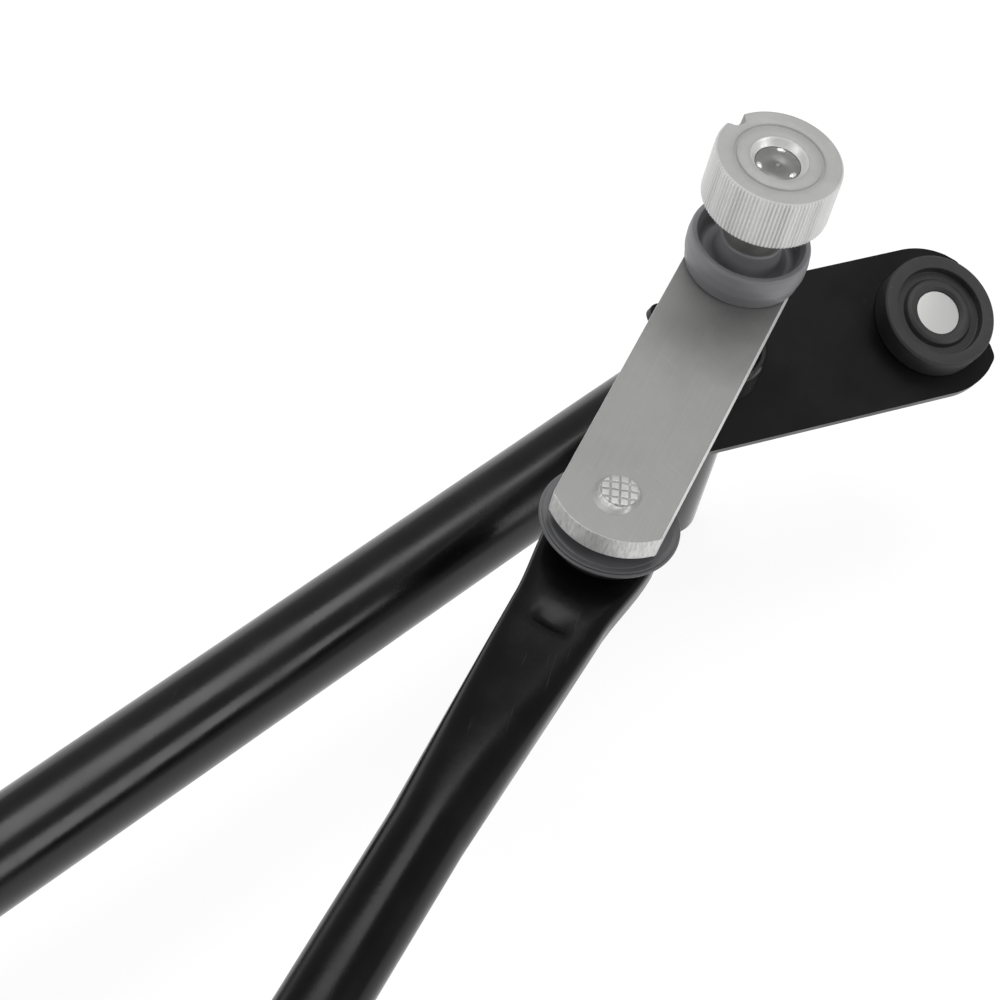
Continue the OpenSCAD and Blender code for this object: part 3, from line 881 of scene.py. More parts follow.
    def stakes(self, level: float) -> None:
        """Three punch marks that stake the shaft's end into the drum, coloured near-white as painted highlights."""
        bm = bmesh.new()
        for i in range(3):
            turn = Matrix.Rotation(math.radians(self.stake_angle + 120.0 * i), 4, "Z")
            shift = Matrix.Translation((self.stake_radius, 0.0, level))
            shape = turn @ shift @ Matrix.Diagonal((0.55, 0.95, 0.3, 1.0))
            bmesh.ops.create_icosphere(bm, subdivisions=3, radius=1.0, matrix=shape)
        # painted highlight: near-white stakes
        Piece(self.node("shaft_stakes"), self.body, "stud_steel", (Look.STAKE,)).make(
            bm, Place(Vector((self.pivot.x, self.pivot.y, 0.0)), side=self.end.side))

    def cup(self) -> None:
        """The open rubber cup round the shaft's neck."""
        low, high = height(self.node("cup_seal"))
        tall = high - low
        neck = width(self.node("shaft")) / 2
        belly = width(self.node("cup_seal")) / 2
        foot = belly - 0.8
        corners = [(neck, 0.0, 0.0), (foot - 0.15, 0.0, 0.1), (foot + 0.1, 0.3, 0.2), (foot + 0.15, 0.9, 0.4),
                   (belly - 0.1, tall * 0.38, 2.5), (belly, tall * 0.66, 1.5), (foot + 0.6, tall * 0.92, 0.8),
                   (foot + 0.3, tall, 0.3), (foot - 0.7, tall, 0.3), (foot - 1.5, tall - 1.6, 0.6),
                   (foot - 2.0, tall - 4.6, 1.4), (neck + 2.6, tall - 5.2, 1.5), (neck + 1.0, tall - 4.2, 1.5),
                   (neck + 0.5, tall - 1.0, 0.8), (neck + 0.45, tall + 0.6, 0.3), (neck, tall + 0.8, 0.0)]
        Piece(self.node("rubber_cup"), self.body, "rubber_grey", (Look.CUP_RUBBER,),
              (self.node("cup_seal"),), crease=60.0).make(
            turned_shape(eased(corners, 4)), Place(self.pivot + Vector((0, 0, low * MM))))

    def lever(self) -> None:
        """The flat lever, with rounded edges and a sheared rim; rim and rounded edges are coloured near-white, partly
        bare sheared steel and partly a painted edge highlight.
        """
        low, high = height(self.node("lever"))
        half = self.lever_width / 2
        nose_centre = self.reach + self.nose_out - self.nose_radius
        spread = math.degrees(math.asin((half - 0.6) / self.nose_radius))
        shoulder = nose_centre + math.sqrt(self.nose_radius ** 2 - (half - 0.6) ** 2)
        outline = [*arc((0.0, 0.0), half, 90.0, 270.0, 40), (shoulder - 0.9, -half),
                   (shoulder - 0.3, -half + 0.15),
                   *arc((nose_centre, 0.0), self.nose_radius, -spread, spread, 24),
                   (shoulder - 0.3, half - 0.15), (shoulder - 0.9, half)]
        holes = [arc((0.0, 0.0), self.seat_radius, 0.0, 352.5, 47),
                 arc((self.reach, 0.0), self.shank_radius, 0.0, 352.5, 47)]
        finish = ZincPlate(self.node("lever_zinc"), self.heading)
        # second finish: painted edge highlight on the sheared rim and rounded edges
        Piece(self.node("flat_lever"), self.body, "zinc_plate", (finish, Look.SHEARED), (self.node("lever"),),
              even=True, sorter=rims_to_second).make(
            slab(outline, holes, low, high, 0.4),
            Place(Vector((self.pivot.x, self.pivot.y, 0.0)), self.heading, self.end.side))

    def ball_stud(self) -> None:
        """The ball stud: ball, neck, shoulder, shank and a riveted head stamped with a waffle."""
        low, high = height(self.node("ball_stud"))
        lever_low, lever_high = height(self.node("lever"))
        thick = lever_high - lever_low
        drop = abs((lever_low if self.end.up > 0 else lever_high) - self.ball.z / MM)
        tip = high - self.ball.z / MM if self.end.up > 0 else self.ball.z / MM - low
        face = drop + thick
        neck_turn = math.degrees(math.acos(self.neck_radius / self.ball_radius))
        rings = 26
        head = [(self.head_radius * (1.0 - (i / rings)), tip) for i in range(1, rings)]
        profile = [(0.0, -self.ball_radius), *arc((0.0, 0.0), self.ball_radius, -86.0, neck_turn, 30),
                   (self.neck_radius, drop - 2.2), (self.neck_radius + 0.6, drop - 1.5), (6.0, drop - 1.45),
                   (6.0, drop - 0.02), (self.shank_radius, drop), (self.shank_radius, face),
                   (self.head_radius + self.skirt, face + 0.01), (self.head_radius + 0.3, face + 0.35),
                   (self.head_radius, face + 0.7), (self.head_radius - 0.1, tip - 0.12), *head, (0.0, tip)]
        bm = turned_shape(profile, 128)
        for vert in bm.verts:
            if vert.co.z > face + 0.005:
                self.stamp(vert, face, tip)
        Piece(self.node("riveted_ball_stud"), self.body, "stud_steel", (Look.WASHER, Look.RIVET_HEAD),
              (self.node("ball_stud"),), crease=38.0,
              sorter=lambda part: 1 if part.calc_center_median().z > face - 0.01 else 0).make(
            bm, Place(self.ball, self.heading, self.end.side, self.end.up))

    def stamp(self, vert: bmesh.types.BMVert, face: float, tip: float) -> None:
        """Presses one vertex of the riveted head: waffle grooves on top and a skirt pushed to one side.

        Args:
            vert: the vertex, in the stud's own frame.
            face: the height of the lever's face.
            tip: the height of the head's top.
        """
        x, y = vert.co.x, vert.co.y
        radius, angle = math.hypot(x, y), math.atan2(y, x)
        if vert.co.z > tip - 0.2:
            ridge = 1.0
            for along in (x * 0.94 + y * 0.34, y * 0.94 - x * 0.34):
                ridge *= min(1.0, abs(math.sin(math.pi * along / self.waffle_pitch)) * 3.2)
            vert.co.z -= 0.24 * (1.0 - ridge) + 0.12 * (radius / self.head_radius) ** 4
        else:
            push = max(0.0, math.cos(angle + 0.37)) ** 2
            grow = 1.0 + (0.03 * math.sin(3 * angle + 1.0) + 0.3 * push) * (tip - vert.co.z) / (tip - face)
            vert.co.xy = vert.co.xy * grow


@dataclass
class DriveLink:
    """A link: a tube pressed flat at both ends, with a ball socket and a seal in each eye."""

    end: End
    tube_radius: float = 7.75
    eye_radius: float = 11.4
    eye_half: float = 4.0
    flat_half: float = 9.5
    eye_blend: float = 22.0
    round_at: float = 80.0
    dimple_at: float = 26.0
    dimple_depth: float = 0.9
    dimple_half: float = 3.2
    socket_radius: float = 9.3
    flange_radius: float = 11.0
    ball_radius: float = 7.04
    mouth_radius: float = 6.4
    section_points: int = 64

    def __post_init__(self) -> None:
        """Finds the link's two ball centres."""
        self.body = f"{self.end.label}_rod"
        self.near = joint_point(f"{self.end.label}_link_swing")
        self.far = mount_point(f"{self.end.label}_crank_ball")
        self.length = (self.far - self.near).xy.length / MM
        self.heading = heading_of(self.far - self.near)

    def build(self) -> None:
        """Makes every piece of the link."""
        self.tube()
        away = self.heading + math.pi
        for word, ball, heading, up in (("lever", self.near, self.heading, self.end.up),
                                        ("crank", self.far, away, -1.0)):
            place = Place(ball, heading, 1.0, up)
            self.socket(word, place)
            self.seal(word, place)

    def half_width(self, along: float) -> float:
        """Half the link's width, at a distance from the eye's centre towards the middle."""
        if along < 0.0:
            return math.sqrt(max(self.eye_radius ** 2 - along ** 2, 0.0))
        if along < self.eye_blend:
            t = along / self.eye_blend
            return self.eye_radius + (self.flat_half - self.eye_radius) * (t * t * (3 - 2 * t))
        t = min(1.0, (along - self.eye_blend) / (self.round_at - self.eye_blend))
        return self.flat_half + (self.tube_radius - self.flat_half) * t

    def half_height(self, along: float) -> float:
        """Half the link's thickness, at a distance from the eye's centre towards the middle."""
        t = min(1.0, max(0.0, (along - 10.0) / (self.round_at - 10.0)))
        return self.eye_half + (self.tube_radius - self.eye_half) * (t * t * (3 - 2 * t))

    def section(self, x: float) -> list[Vector]:
        """The link's outline across, at one place along it.

        Args:
            x: the distance from the near ball.

        Returns:
            The ring's points.
        """
        from_near = x <= self.length / 2
        along = x if from_near else self.length - x
        wide, tall = self.half_width(along), self.half_height(along)
        t = min(1.0, max(0.0, (along - 12.0) / (self.round_at - 12.0)))
        square = 2.0 / (2.0 + 3.2 * (1.0 - t) ** 1.5)
        ring = []
        for i in range(self.section_points):
            a = 2 * math.pi * i / self.section_points
            c, s = math.cos(a), math.sin(a)
            y = wide * math.copysign(abs(c) ** square, c)
            z = tall * math.copysign(abs(s) ** square, s)
            if s > 0.0:
                z -= self.dimple(along, y)
            ring.append(Vector((x, y, z)))
        return ring

    def dimple(self, along: float, across: float) -> float:
        """How deep the pressed dimple is at a point of the link's upper side."""
        before = along - self.dimple_at
        length = math.exp(-((before / 4.5) ** 2)) if before < 0.0 else math.exp(-((before / 1.2) ** 2))
        return self.dimple_depth * length * math.exp(-((across / self.dimple_half) ** 4))

    def stations(self) -> list[float]:
        """The places along the link where it has a ring of points, close together where it bends."""
        half = self.length / 2
        ends = [-self.eye_radius * math.cos(math.radians(a)) for a in range(4, 90, 6)]
        flats = [i * 1.0 for i in range(0, int(self.round_at) + 2)]
        middle = [flats[-1] + (half - flats[-1]) * i / 6 for i in range(1, 7)]
        near = ends + flats + middle
        return near + [self.length - x for x in reversed(near[:-1])]

    def tube(self) -> None:
        """The link's tube."""
        bm = swept_rings([self.section(x) for x in self.stations()])
        Piece(f"{self.end.label}_pressed_link", self.body, "link_black", (Look.LINK,),
              (f"{self.end.label}_link",), crease=50.0).make(bm, Place(self.near, self.heading))

    def socket(self, word: str, place: Place) -> None:
        """A plastic ball socket: a cup with a flange, and a mouth that the ball snaps through."""
        low, top = -self.ball_radius - 1.3, self.eye_half + 1.2
        mouth_turn = math.degrees(math.acos(self.mouth_radius / self.ball_radius))
        inner = arc((0.0, 0.0), self.ball_radius, mouth_turn, -87.0, 24)
        outer = eased([(0.0, low, 0.0), (self.socket_radius - 1.6, low, 1.2), (self.socket_radius, low + 2.0, 1.2),
                       (self.socket_radius, self.eye_half, 0.0), (self.flange_radius, self.eye_half, 0.3),
                       (self.flange_radius, top, 0.4), (self.mouth_radius + 0.4, top, 0.3)], 4, closed=False)
        profile = [*outer, (self.mouth_radius, top - 0.4), *inner, (0.0, -self.ball_radius)]
        Piece(f"{self.end.label}_{word}_socket_cup", self.body, "socket_plastic", (Look.SOCKET_PLASTIC,),
              (f"{self.end.label}_{word}_socket",), crease=40.0).make(turned_shape(profile, 80), place)

    def seal(self, word: str, place: Place) -> None:
        """The rubber seal on a socket: a cone with a double-grooved rim and a domed top."""
        node = f"{self.end.label}_{word}_seal"
        rim = width(node) / 2
        thick = height(node)[1] - height(node)[0]
        foot = self.eye_half + 1.2
        thick += 1.0
        edge = thick - 1.1
        corners = [(5.5, 0.0, 0.0), (rim - 3.0, 0.0, 0.4), (rim - 0.75, edge - 0.35, 0.3),
                   (rim - 0.8, edge, 0.1), (rim - 0.1, edge + 0.05, 0.15), (rim, edge + 0.4, 0.2),
                   (rim - 0.2, edge + 0.65, 0.15), (rim - 0.75, edge + 0.7, 0.1), (rim - 0.8, edge + 0.9, 0.1),
                   (rim - 0.45, thick - 0.15, 0.15), (rim - 0.75, thick, 0.2), (rim - 1.6, thick, 0.2),
                   (rim - 1.9, thick + 0.15, 0.2), (9.2, thick + 0.7, 1.0), (6.4, thick + 0.9, 0.4),
                   (4.3, thick + 0.9, 0.0), (4.3, thick / 2, 0.0)]
        shape = turned_shape([(r, z + foot) for r, z in eased(corners, 4)], 128)
        Piece(f"{self.end.label}_{word}_rubber_seal", self.body, "rubber_grey", (Look.SEAL_RUBBER,), (node,),
              crease=60.0).make(shape, place)


@dataclass
class PivotMount:
    """One end of the frame: housing, leaned bracket, grommet and locating pin."""

    end: End
    bracket_angle: float = 21.0
    bracket_lean: float = 21.0
    plate_gap: float = 20.5
    thick: float = 2.5
    back: float = 10.9
    corner: float = 2.0
    end_radius: float = 16.9
    horn_reach: float = 12.6
    slot_radius: float = 7.4
    grommet: Point = (51.9, -4.9)
    sleeve_radius: float = 8.85
    collar_radius: float = 11.6
    collar_height: float = 2.0
    pin_reach: float = 23.3

    def __post_init__(self) -> None:
        """Finds the leaned bracket's frame: X along it, and its top face at zero."""
        self.pivot = joint_point(f"{self.end.label}_lever_swing")
        self.level = height(self.node("lever"))[0] - self.plate_gap
        turn = math.radians(self.bracket_angle)
        heading = -turn if self.end is End.RIGHT else math.pi + turn
        lean = math.radians(self.bracket_lean) * self.end.side
        origin = Vector((self.pivot.x, self.pivot.y, self.level * MM))
        self.plate = Place(origin, heading, self.end.side, lean=lean)
        self.upright = Place(Vector((self.pivot.x, self.pivot.y, 0.0)))

    def node(self, word: str) -> str:
        """The name of one of this end's CAD nodes."""
        return f"{self.end.label}_{word}"

    def build(self) -> None:
        """Makes every piece of the mount."""
        self.housing()
        self.collar()
        self.bracket()
        spool = Spool(self.end.label, self.plate.moved(*self.grommet), -self.thick, 0.0, -self.pin_reach)
        spool.grommet()
        spool.pin()
        for word in ("upper_bush", "lower_bush"):
            dress(self.node(word), Look.BRONZE)
        for word in ("thrust_washer", "lower_washer", "retaining_clip"):
            dress(self.node(word), Look.WASHER)

    def housing(self) -> None:
        """The pivot housing's sleeve, bored for its bushes."""
        low, high = height(self.node("housing"))
        outer, bore, recess = self.sleeve_radius, 6.5, 7.2
        recess_top = height(self.node("lower_bush"))[0]
        corners = [(bore, recess_top, 0.0), (recess, recess_top, 0.0), (recess, low + 0.4, 0.3),
                   (recess + 0.4, low, 0.1), (outer - 1.2, low, 0.6), (outer, low + 1.2, 0.8),
                   (outer, self.level - 4.0, 0.0), (outer, high - 0.5, 0.3), (outer - 0.5, high, 0.2),
                   (bore, high, 0.0)]
        Piece(self.node("housing_sleeve"), "frame", "housing_black", (Look.HOUSING,), (self.node("housing"),),
              crease=40.0).make(turned_shape(eased(corners, 5)), self.upright)

    def collar(self) -> None:
        """The upright collar round the sleeve, cut off by the leaned bracket's top."""
        wide, top, inner = self.collar_radius, self.collar_height, self.sleeve_radius
        corners = [(inner - 0.8, -7.0, 0.0), (wide, -7.0, 0.0), (wide, top - 0.8, 0.3), (wide - 0.5, top, 0.3),
                   (wide - 1.3, top, 0.3), (wide - 1.7, top - 0.7, 0.3), (inner + 1.5, top - 0.6, 0.4),
                   (inner + 0.6, top + 0.3, 0.4), (inner - 0.02, top + 1.6, 0.0), (inner - 0.8, top + 1.6, 0.0)]
        bm = turned_shape([(r, z + self.level) for r, z in eased(corners, 4)])
        frame_turn = self.plate.matrix().to_3x3()
        across = (frame_turn @ Vector((0.0, 0.0, 1.0))).normalized()
        cut = bmesh.ops.bisect_plane(bm, geom=[*bm.verts, *bm.edges, *bm.faces], dist=1e-4,
                                     plane_co=(0.0, 0.0, self.level), plane_no=across, clear_inner=True)
        rims = [g for g in cut["geom_cut"] if isinstance(g, bmesh.types.BMEdge)]
        bmesh.ops.triangle_fill(bm, edges=rims, use_beauty=True)
        Piece(self.node("housing_collar"), "frame", "housing_black", (Look.HOUSING,), crease=40.0).make(
            bm, self.upright)

    def outline(self) -> list[Point]:
        """The bracket's outline: straight sides, a round end and a slot open to that end."""
        x, y = self.grommet
        tip = x + self.horn_reach
        half = math.degrees(math.acos(self.horn_reach / self.end_radius))
        rise = math.sqrt(self.end_radius ** 2 - self.horn_reach ** 2)
        lower = arc(self.grommet, self.end_radius, -90.0, -half - 12.0, 16)
        upper = [(px, 2 * y - py) for px, py in reversed(lower)]
        slot = arc(self.grommet, self.slot_radius, 270.0, 90.0, 30)
        corners = [(-self.back, y + self.end_radius, self.corner), (-self.back, y - self.end_radius, self.corner)]
        corners += [(*point, 0.0) for point in lower]
        corners += [(tip, y - rise, 2.6), (tip, y - self.slot_radius, 1.2)]
        corners += [(*point, 0.0) for point in slot]
        corners += [(tip, y + self.slot_radius, 1.2), (tip, y + rise, 2.6)]
        corners += [(*point, 0.0) for point in upper]
        return eased(corners, 6)

    def bracket(self) -> None:
        """The flat, leaned end bracket, bored upright for the housing."""
        slope = math.tan(math.radians(self.bracket_lean))
        stretch = 1.0 / math.cos(math.radians(self.bracket_lean))
        hole = [(x, y * stretch) for x, y in arc((0.0, 0.0), self.sleeve_radius, 0.0, 354.0, 59)]
        bm = slab(self.outline(), [hole], -self.thick, 0.0, 0.4)
        for vert in bm.verts:
            if vert.co.xy.length < self.sleeve_radius * stretch + 0.6:
                vert.co.y += vert.co.z * slope
        Piece(self.node("bracket_plate"), "frame", "frame_black", (Look.BRACKET,), (self.node("bracket"),),
              even=True).make(bm, self.plate)


@dataclass
class Spool:
    """A rubber grommet in a plate, with the locating pin that it carries."""

    label: str
    place: Place
    low: float
    high: float
    tip: float
    rim: float = 12.8
    flange: float = 5.8
    lip: float = 0.4
    waist: float = 7.4
    boss: float = 7.7
    groove: float = 2.2
    groove_depth: float = 1.9
    pin_radius: float = 5.0
    tip_radius: float = 4.0
    head_drop: float = 0.9

    def grommet(self) -> None:
        """The spool-shaped grommet, with a chamfered flange and a ring groove."""
        foot, top = self.low - self.flange, self.high + self.flange
        top += self.lip
        rim, ring, bottom = self.rim, self.boss + self.groove, top - self.groove_depth
        corners = [(self.pin_radius, foot, 0.2), (rim - 1.0, foot, 0.5), (rim, foot + 1.0, 0.5),
                   (rim, self.low - 0.3, 0.25), (rim - 0.4, self.low, 0.1), (self.waist, self.low, 0.0),
                   (self.waist, self.high, 0.0), (rim - 0.4, self.high, 0.1), (rim, self.high + 0.3, 0.25),
                   (rim, top - 0.4, 0.2), (rim - 0.5, top, 0.35), (ring, top - 0.1, 0.3),
                   (ring - 0.25, bottom, 0.25), (self.boss + 0.2, bottom, 0.25), (self.boss - 0.3, top - 0.9, 0.5),
                   (self.boss - 1.1, top - 0.5, 0.5), (self.pin_radius + 0.7, top - 0.6, 0.3),
                   (self.pin_radius, top - 1.1, 0.0)]
        Piece(f"{self.label}_rubber_grommet", "frame", "rubber_black", (Look.GROMMET_RUBBER,),
              (f"{self.label}_grommet",), crease=45.0).make(turned_shape(eased(corners, 4)), self.place)

    def pin(self) -> None:
        """The locating pin, with a flat head in the grommet and a thinner free end."""
        step = self.low - self.flange - 1.0
        head = self.high + self.flange - self.head_drop
        corners = [(0.0, self.tip, 0.0), (self.tip_radius - 1.4, self.tip, 0.4),
                   (self.tip_radius, self.tip + 1.2, 0.6), (self.tip_radius, step, 0.0),
                   (self.pin_radius, step, 0.3), (self.pin_radius, head - 0.15, 0.1),
                   (self.pin_radius - 0.15, head, 0.1), (0.0, head, 0.0)]
        Piece(f"{self.label}_pin", "frame", "pin_steel", (Look.PIN,), (f"{self.label}_locating_pin",),
              crease=35.0).make(turned_shape(eased(corners, 4, closed=False), 72), self.place)


@dataclass
class TubeFrame:
    """The frame tube, the motor plate under it and the saddle that holds them together."""

    tube_start: float = 3.0
    wall: float = 1.6
    housing_radius: float = 8.85
    around: int = 96
    plate_radius: float = 42.0
    neck_half: float = 30.0
    boss_radius: float = 18.0
    bolt_radius: float = 3.3
    plate_wall: float = 2.5
    waist_radius: float = 7.4
    saddle_half: float = 20.0
    saddle_wall: float = 1.8
    saddle_foot: float = 11.0

    def __post_init__(self) -> None:
        """Finds the two pivots, the tube and the motor's axis."""
        self.right = joint_point("right_lever_swing")
        self.left = joint_point("left_lever_swing")
        low, high = height("frame_tube")
        self.radius = (high - low) / 2
        self.level = (high + low) / 2
        self.across = centre("frame_tube").y / MM - self.right.y / MM
        self.motor = mount_point("motor_bolts")

    def build(self) -> None:
        """Makes every piece of the frame between the pivots."""
        self.tube()
        self.motor_plate()
        self.saddle()
        self.rivets()
        low = height("motor_plate")[0]
        place = Place(centre("motor_grommet"))
        spool = Spool("motor", place, low, low + self.plate_wall, height("motor_locating_pin")[0])
        spool.grommet()
        spool.pin()

    def coped(self, angle: float, radius: float) -> float:
        """How far from a pivot's axis the tube's end lies, where it is cut to fit the housing."""
        across = abs(radius * math.cos(angle) + self.across)
        if across >= self.housing_radius:
            return self.tube_start
        return max(self.tube_start, math.sqrt(self.housing_radius ** 2 - across ** 2))

    def ring(self, radius: float, place: Callable[[float], float]) -> list[Vector]:
        """A ring round the tube.

        Args:
            radius: the ring's radius.
            place: gives the ring's distance from the right pivot, by angle.

        Returns:
            The ring's points.
        """
        points = []
        for i in range(self.around):
            a = 2 * math.pi * i / self.around
            points.append(Vector((-place(a), self.across + radius * math.cos(a),
                                  self.level + radius * math.sin(a))))
        return points

    def tube(self) -> None:
        """The frame tube, coped to both housings, with its weld beads."""
        span = (self.right - self.left).length / MM
        inner = self.radius - self.wall
        near = lambda radius: (lambda a: self.coped(a, radius))
        far = lambda radius: (lambda a: span - self.coped(a, radius))
        plain = [20.0, span * 0.25, span * 0.5, span * 0.75, span - 20.0]
        rings = [self.ring(inner, near(inner)), self.ring(self.radius, near(self.radius))]
        rings += [self.ring(self.radius, lambda a, x=x: x) for x in plain]
        rings += [self.ring(self.radius, far(self.radius)), self.ring(inner, far(inner))]
        rings += [self.ring(inner, lambda a, x=x: x) for x in reversed(plain)]
        rings.append(rings[0])
        bm = swept_rings(rings, closed_ends=False)
        bmesh.ops.remove_doubles(bm, verts=bm.verts, dist=1e-5)
        place = Place(Vector((self.right.x, self.right.y, 0.0)))
        Piece("coped_frame_tube", "frame", "frame_black", (Look.FRAME,), ("frame_tube",), crease=50.0).make(bm, place)
        for label, ends in (("right", near), ("left", far)):
            self.weld(label, ends(self.radius), place)

    def weld(self, label: str, ends: Callable[[float], float], place: Place) -> None:
        """A weld bead along the cut end of the tube.

        Args:
            label: which end it is.
            ends: gives the cut's distance from the right pivot, by angle.
            place: the tube's own frame.
        """
        thick, beads, points = 1.1, 150, 12
        rings = []
        for i in range(beads):
            a = 2 * math.pi * i / beads
            ripple = thick * (1.0 + 0.12 * math.sin(a * 37.0) + 0.08 * math.sin(a * 11.0 + 1.0))
            out = Vector((0.0, math.cos(a), math.sin(a)))
            heart = Vector((-ends(a), self.across, self.level)) + out * self.radius
            rings.append([heart + Vector((math.cos(t) * ripple, 0.0, 0.0)) + out * (math.sin(t) * ripple * 0.8)
                          for t in (2 * math.pi * j / points for j in range(points))])
        rings.append(rings[0])
        bm = swept_rings(rings, closed_ends=False)
        bmesh.ops.remove_doubles(bm, verts=bm.verts, dist=1e-5)
        Piece(f"{label}_tube_weld", "frame", "frame_black", (Look.BRACKET,), crease=60.0).make(bm, place)

    def motor_plate(self) -> None:
        """The motor plate: a disc with the motor's holes, a tail under the tube and an ear for a grommet."""
        low = height("motor_plate")[0]
        high = low + self.plate_wall
        offset = (self.right.y - self.motor.y) / MM
        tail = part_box("motor_plate")[1].y / MM + offset
        ear = (centre("motor_grommet").y - self.motor.y) / MM
        ear_radius = width("motor_grommet") / 2 + 4.0
        join = math.degrees(math.asin(self.neck_half / self.plate_radius))
        lean = 24.0
        outline = [*arc((0.0, 0.0), self.plate_radius, 90.0 + join, 270.0 - lean, 40)]
        outline += arc((0.0, ear), ear_radius, 180.0, 360.0, 24)
        outline += arc((0.0, 0.0), self.plate_radius, -90.0 + lean, 90.0 - join, 40)
        outline += eased([(self.neck_half, self.plate_radius * 0.8, 0.0), (self.neck_half, tail, 6.0),
                          (-self.neck_half, tail, 6.0), (-self.neck_half, self.plate_radius * 0.8, 0.0)],
                         8, closed=False)
        pattern = next(m for m in frame["record"]["mounts"] if m["name"] == "motor_bolts")["dims"]
        holes = [arc((0.0, 0.0), self.boss_radius, 0.0, 355.0, 71), arc((0.0, ear), self.waist_radius, 0.0, 352.5, 47)]
        for turn in (90.0, 210.0, 330.0):
            away = pattern["pcd_mm"] / 2
            spot = (away * math.cos(math.radians(turn)), away * math.sin(math.radians(turn)))
            holes.append(arc(spot, self.bolt_radius, 0.0, 350.0, 35))
        place = Place(Vector((self.motor.x, self.motor.y, 0.0)))
        Piece("motor_bracket_plate", "frame", "frame_black", (Look.BRACKET,), ("motor_plate",), even=True).make(
            slab(outline, holes, low, high, 0.45), place)
        rim_top = height("motor_plate")[1]
        rim = eased([(self.boss_radius, high, 0.0), (self.boss_radius + 1.6, high, 0.0),
                     (self.boss_radius + 1.6, rim_top, 0.6), (self.boss_radius, rim_top, 0.6)], 4)
        Piece("motor_boss_rim", "frame", "frame_black", (Look.BRACKET,), crease=50.0).make(
            turned_shape(rim), place)

    def saddle(self) -> None:
        """The pressed strap over the tube."""
        bottom = -self.radius
        out = self.radius + self.saddle_wall
        foot = out + self.saddle_foot
        top = bottom + self.saddle_wall
        outline = [(-foot, bottom), (-self.radius, bottom), (-self.radius, 0.0),
                   *arc((0.0, 0.0), self.radius, 180.0, 0.0, 32)[1:-1], (self.radius, 0.0),
                   (self.radius, bottom), (foot, bottom), (foot, top)]
        outline += arc((out + 1.2, top + 1.2), 1.2, 270.0, 180.0, 5)
        outline += arc((0.0, 0.0), out, 0.0, 180.0, 32)
        outline += arc((-out - 1.2, top + 1.2), 1.2, 0.0, -90.0, 5)
        outline += [(-foot, top)]
        bm = slab(outline, [], -self.saddle_half, self.saddle_half, 0.3)
        turn = Matrix(((0, 0, 1), (1, 0, 0), (0, 1, 0))).to_4x4()
        bmesh.ops.transform(bm, matrix=turn, verts=bm.verts)
        Piece("tube_strap", "frame", "frame_black", (Look.BRACKET,), ("tube_saddle",), even=True).make(
            bm, Place(Vector((self.motor.x, self.right.y + self.across * MM, self.level * MM))))

    def rivets(self) -> None:
        """The saddle's four rivets, with domed heads."""
        low, high = height("saddle_rivets")
        box_low, box_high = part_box("saddle_rivets")
        plate = height("motor_plate")[0]
        head, shank, dome = 4.25, 2.5, 1.6
        strap = high - dome
        whole = bmesh.new()
        profile = [(0.0, low), (head * 0.55, low + 0.12), (head * 0.88, low + 0.55), (head, low + 1.1),
                   (head, plate), (shank, plate), (shank, strap), (head, strap), (head, high - 1.1),
                   (head * 0.88, high - 0.55), (head * 0.55, high - 0.12), (0.0, high)]
        middle = (box_low + box_high) / 2
        reach_x = (box_high.x - box_low.x) / 2 / MM - head
        reach_y = (box_high.y - box_low.y) / 2 / MM - head
        for sx in (-1.0, 1.0):
            for sy in (-1.0, 1.0):
                one = turned_shape(profile, 40)
                bmesh.ops.translate(one, verts=one.verts, vec=(sx * reach_x, sy * reach_y, 0.0))
                carrier = bpy.data.meshes.new("rivet")
                one.to_mesh(carrier)
                one.free()
                whole.from_mesh(carrier)
                bpy.data.meshes.remove(carrier)
        Piece("domed_rivets", "frame", "rivet_steel", (Look.SET_RIVET,), ("saddle_rivets",), crease=60.0).make(
            whole, Place(Vector((middle.x, middle.y, 0.0))))


def dress(node: str, look: Look) -> None:
    """Gives a CAD node that keeps its own mesh a finish.

    Args:
        node: the node's name.
        look: the finish.
    """
    thing = frame["nodes"][node]
    thing.data.materials.clear()
    thing.data.materials.append(look.material())
    LOG.info("%s: kept, dressed in %s", node, look.value.name)


# ---- Studio ----


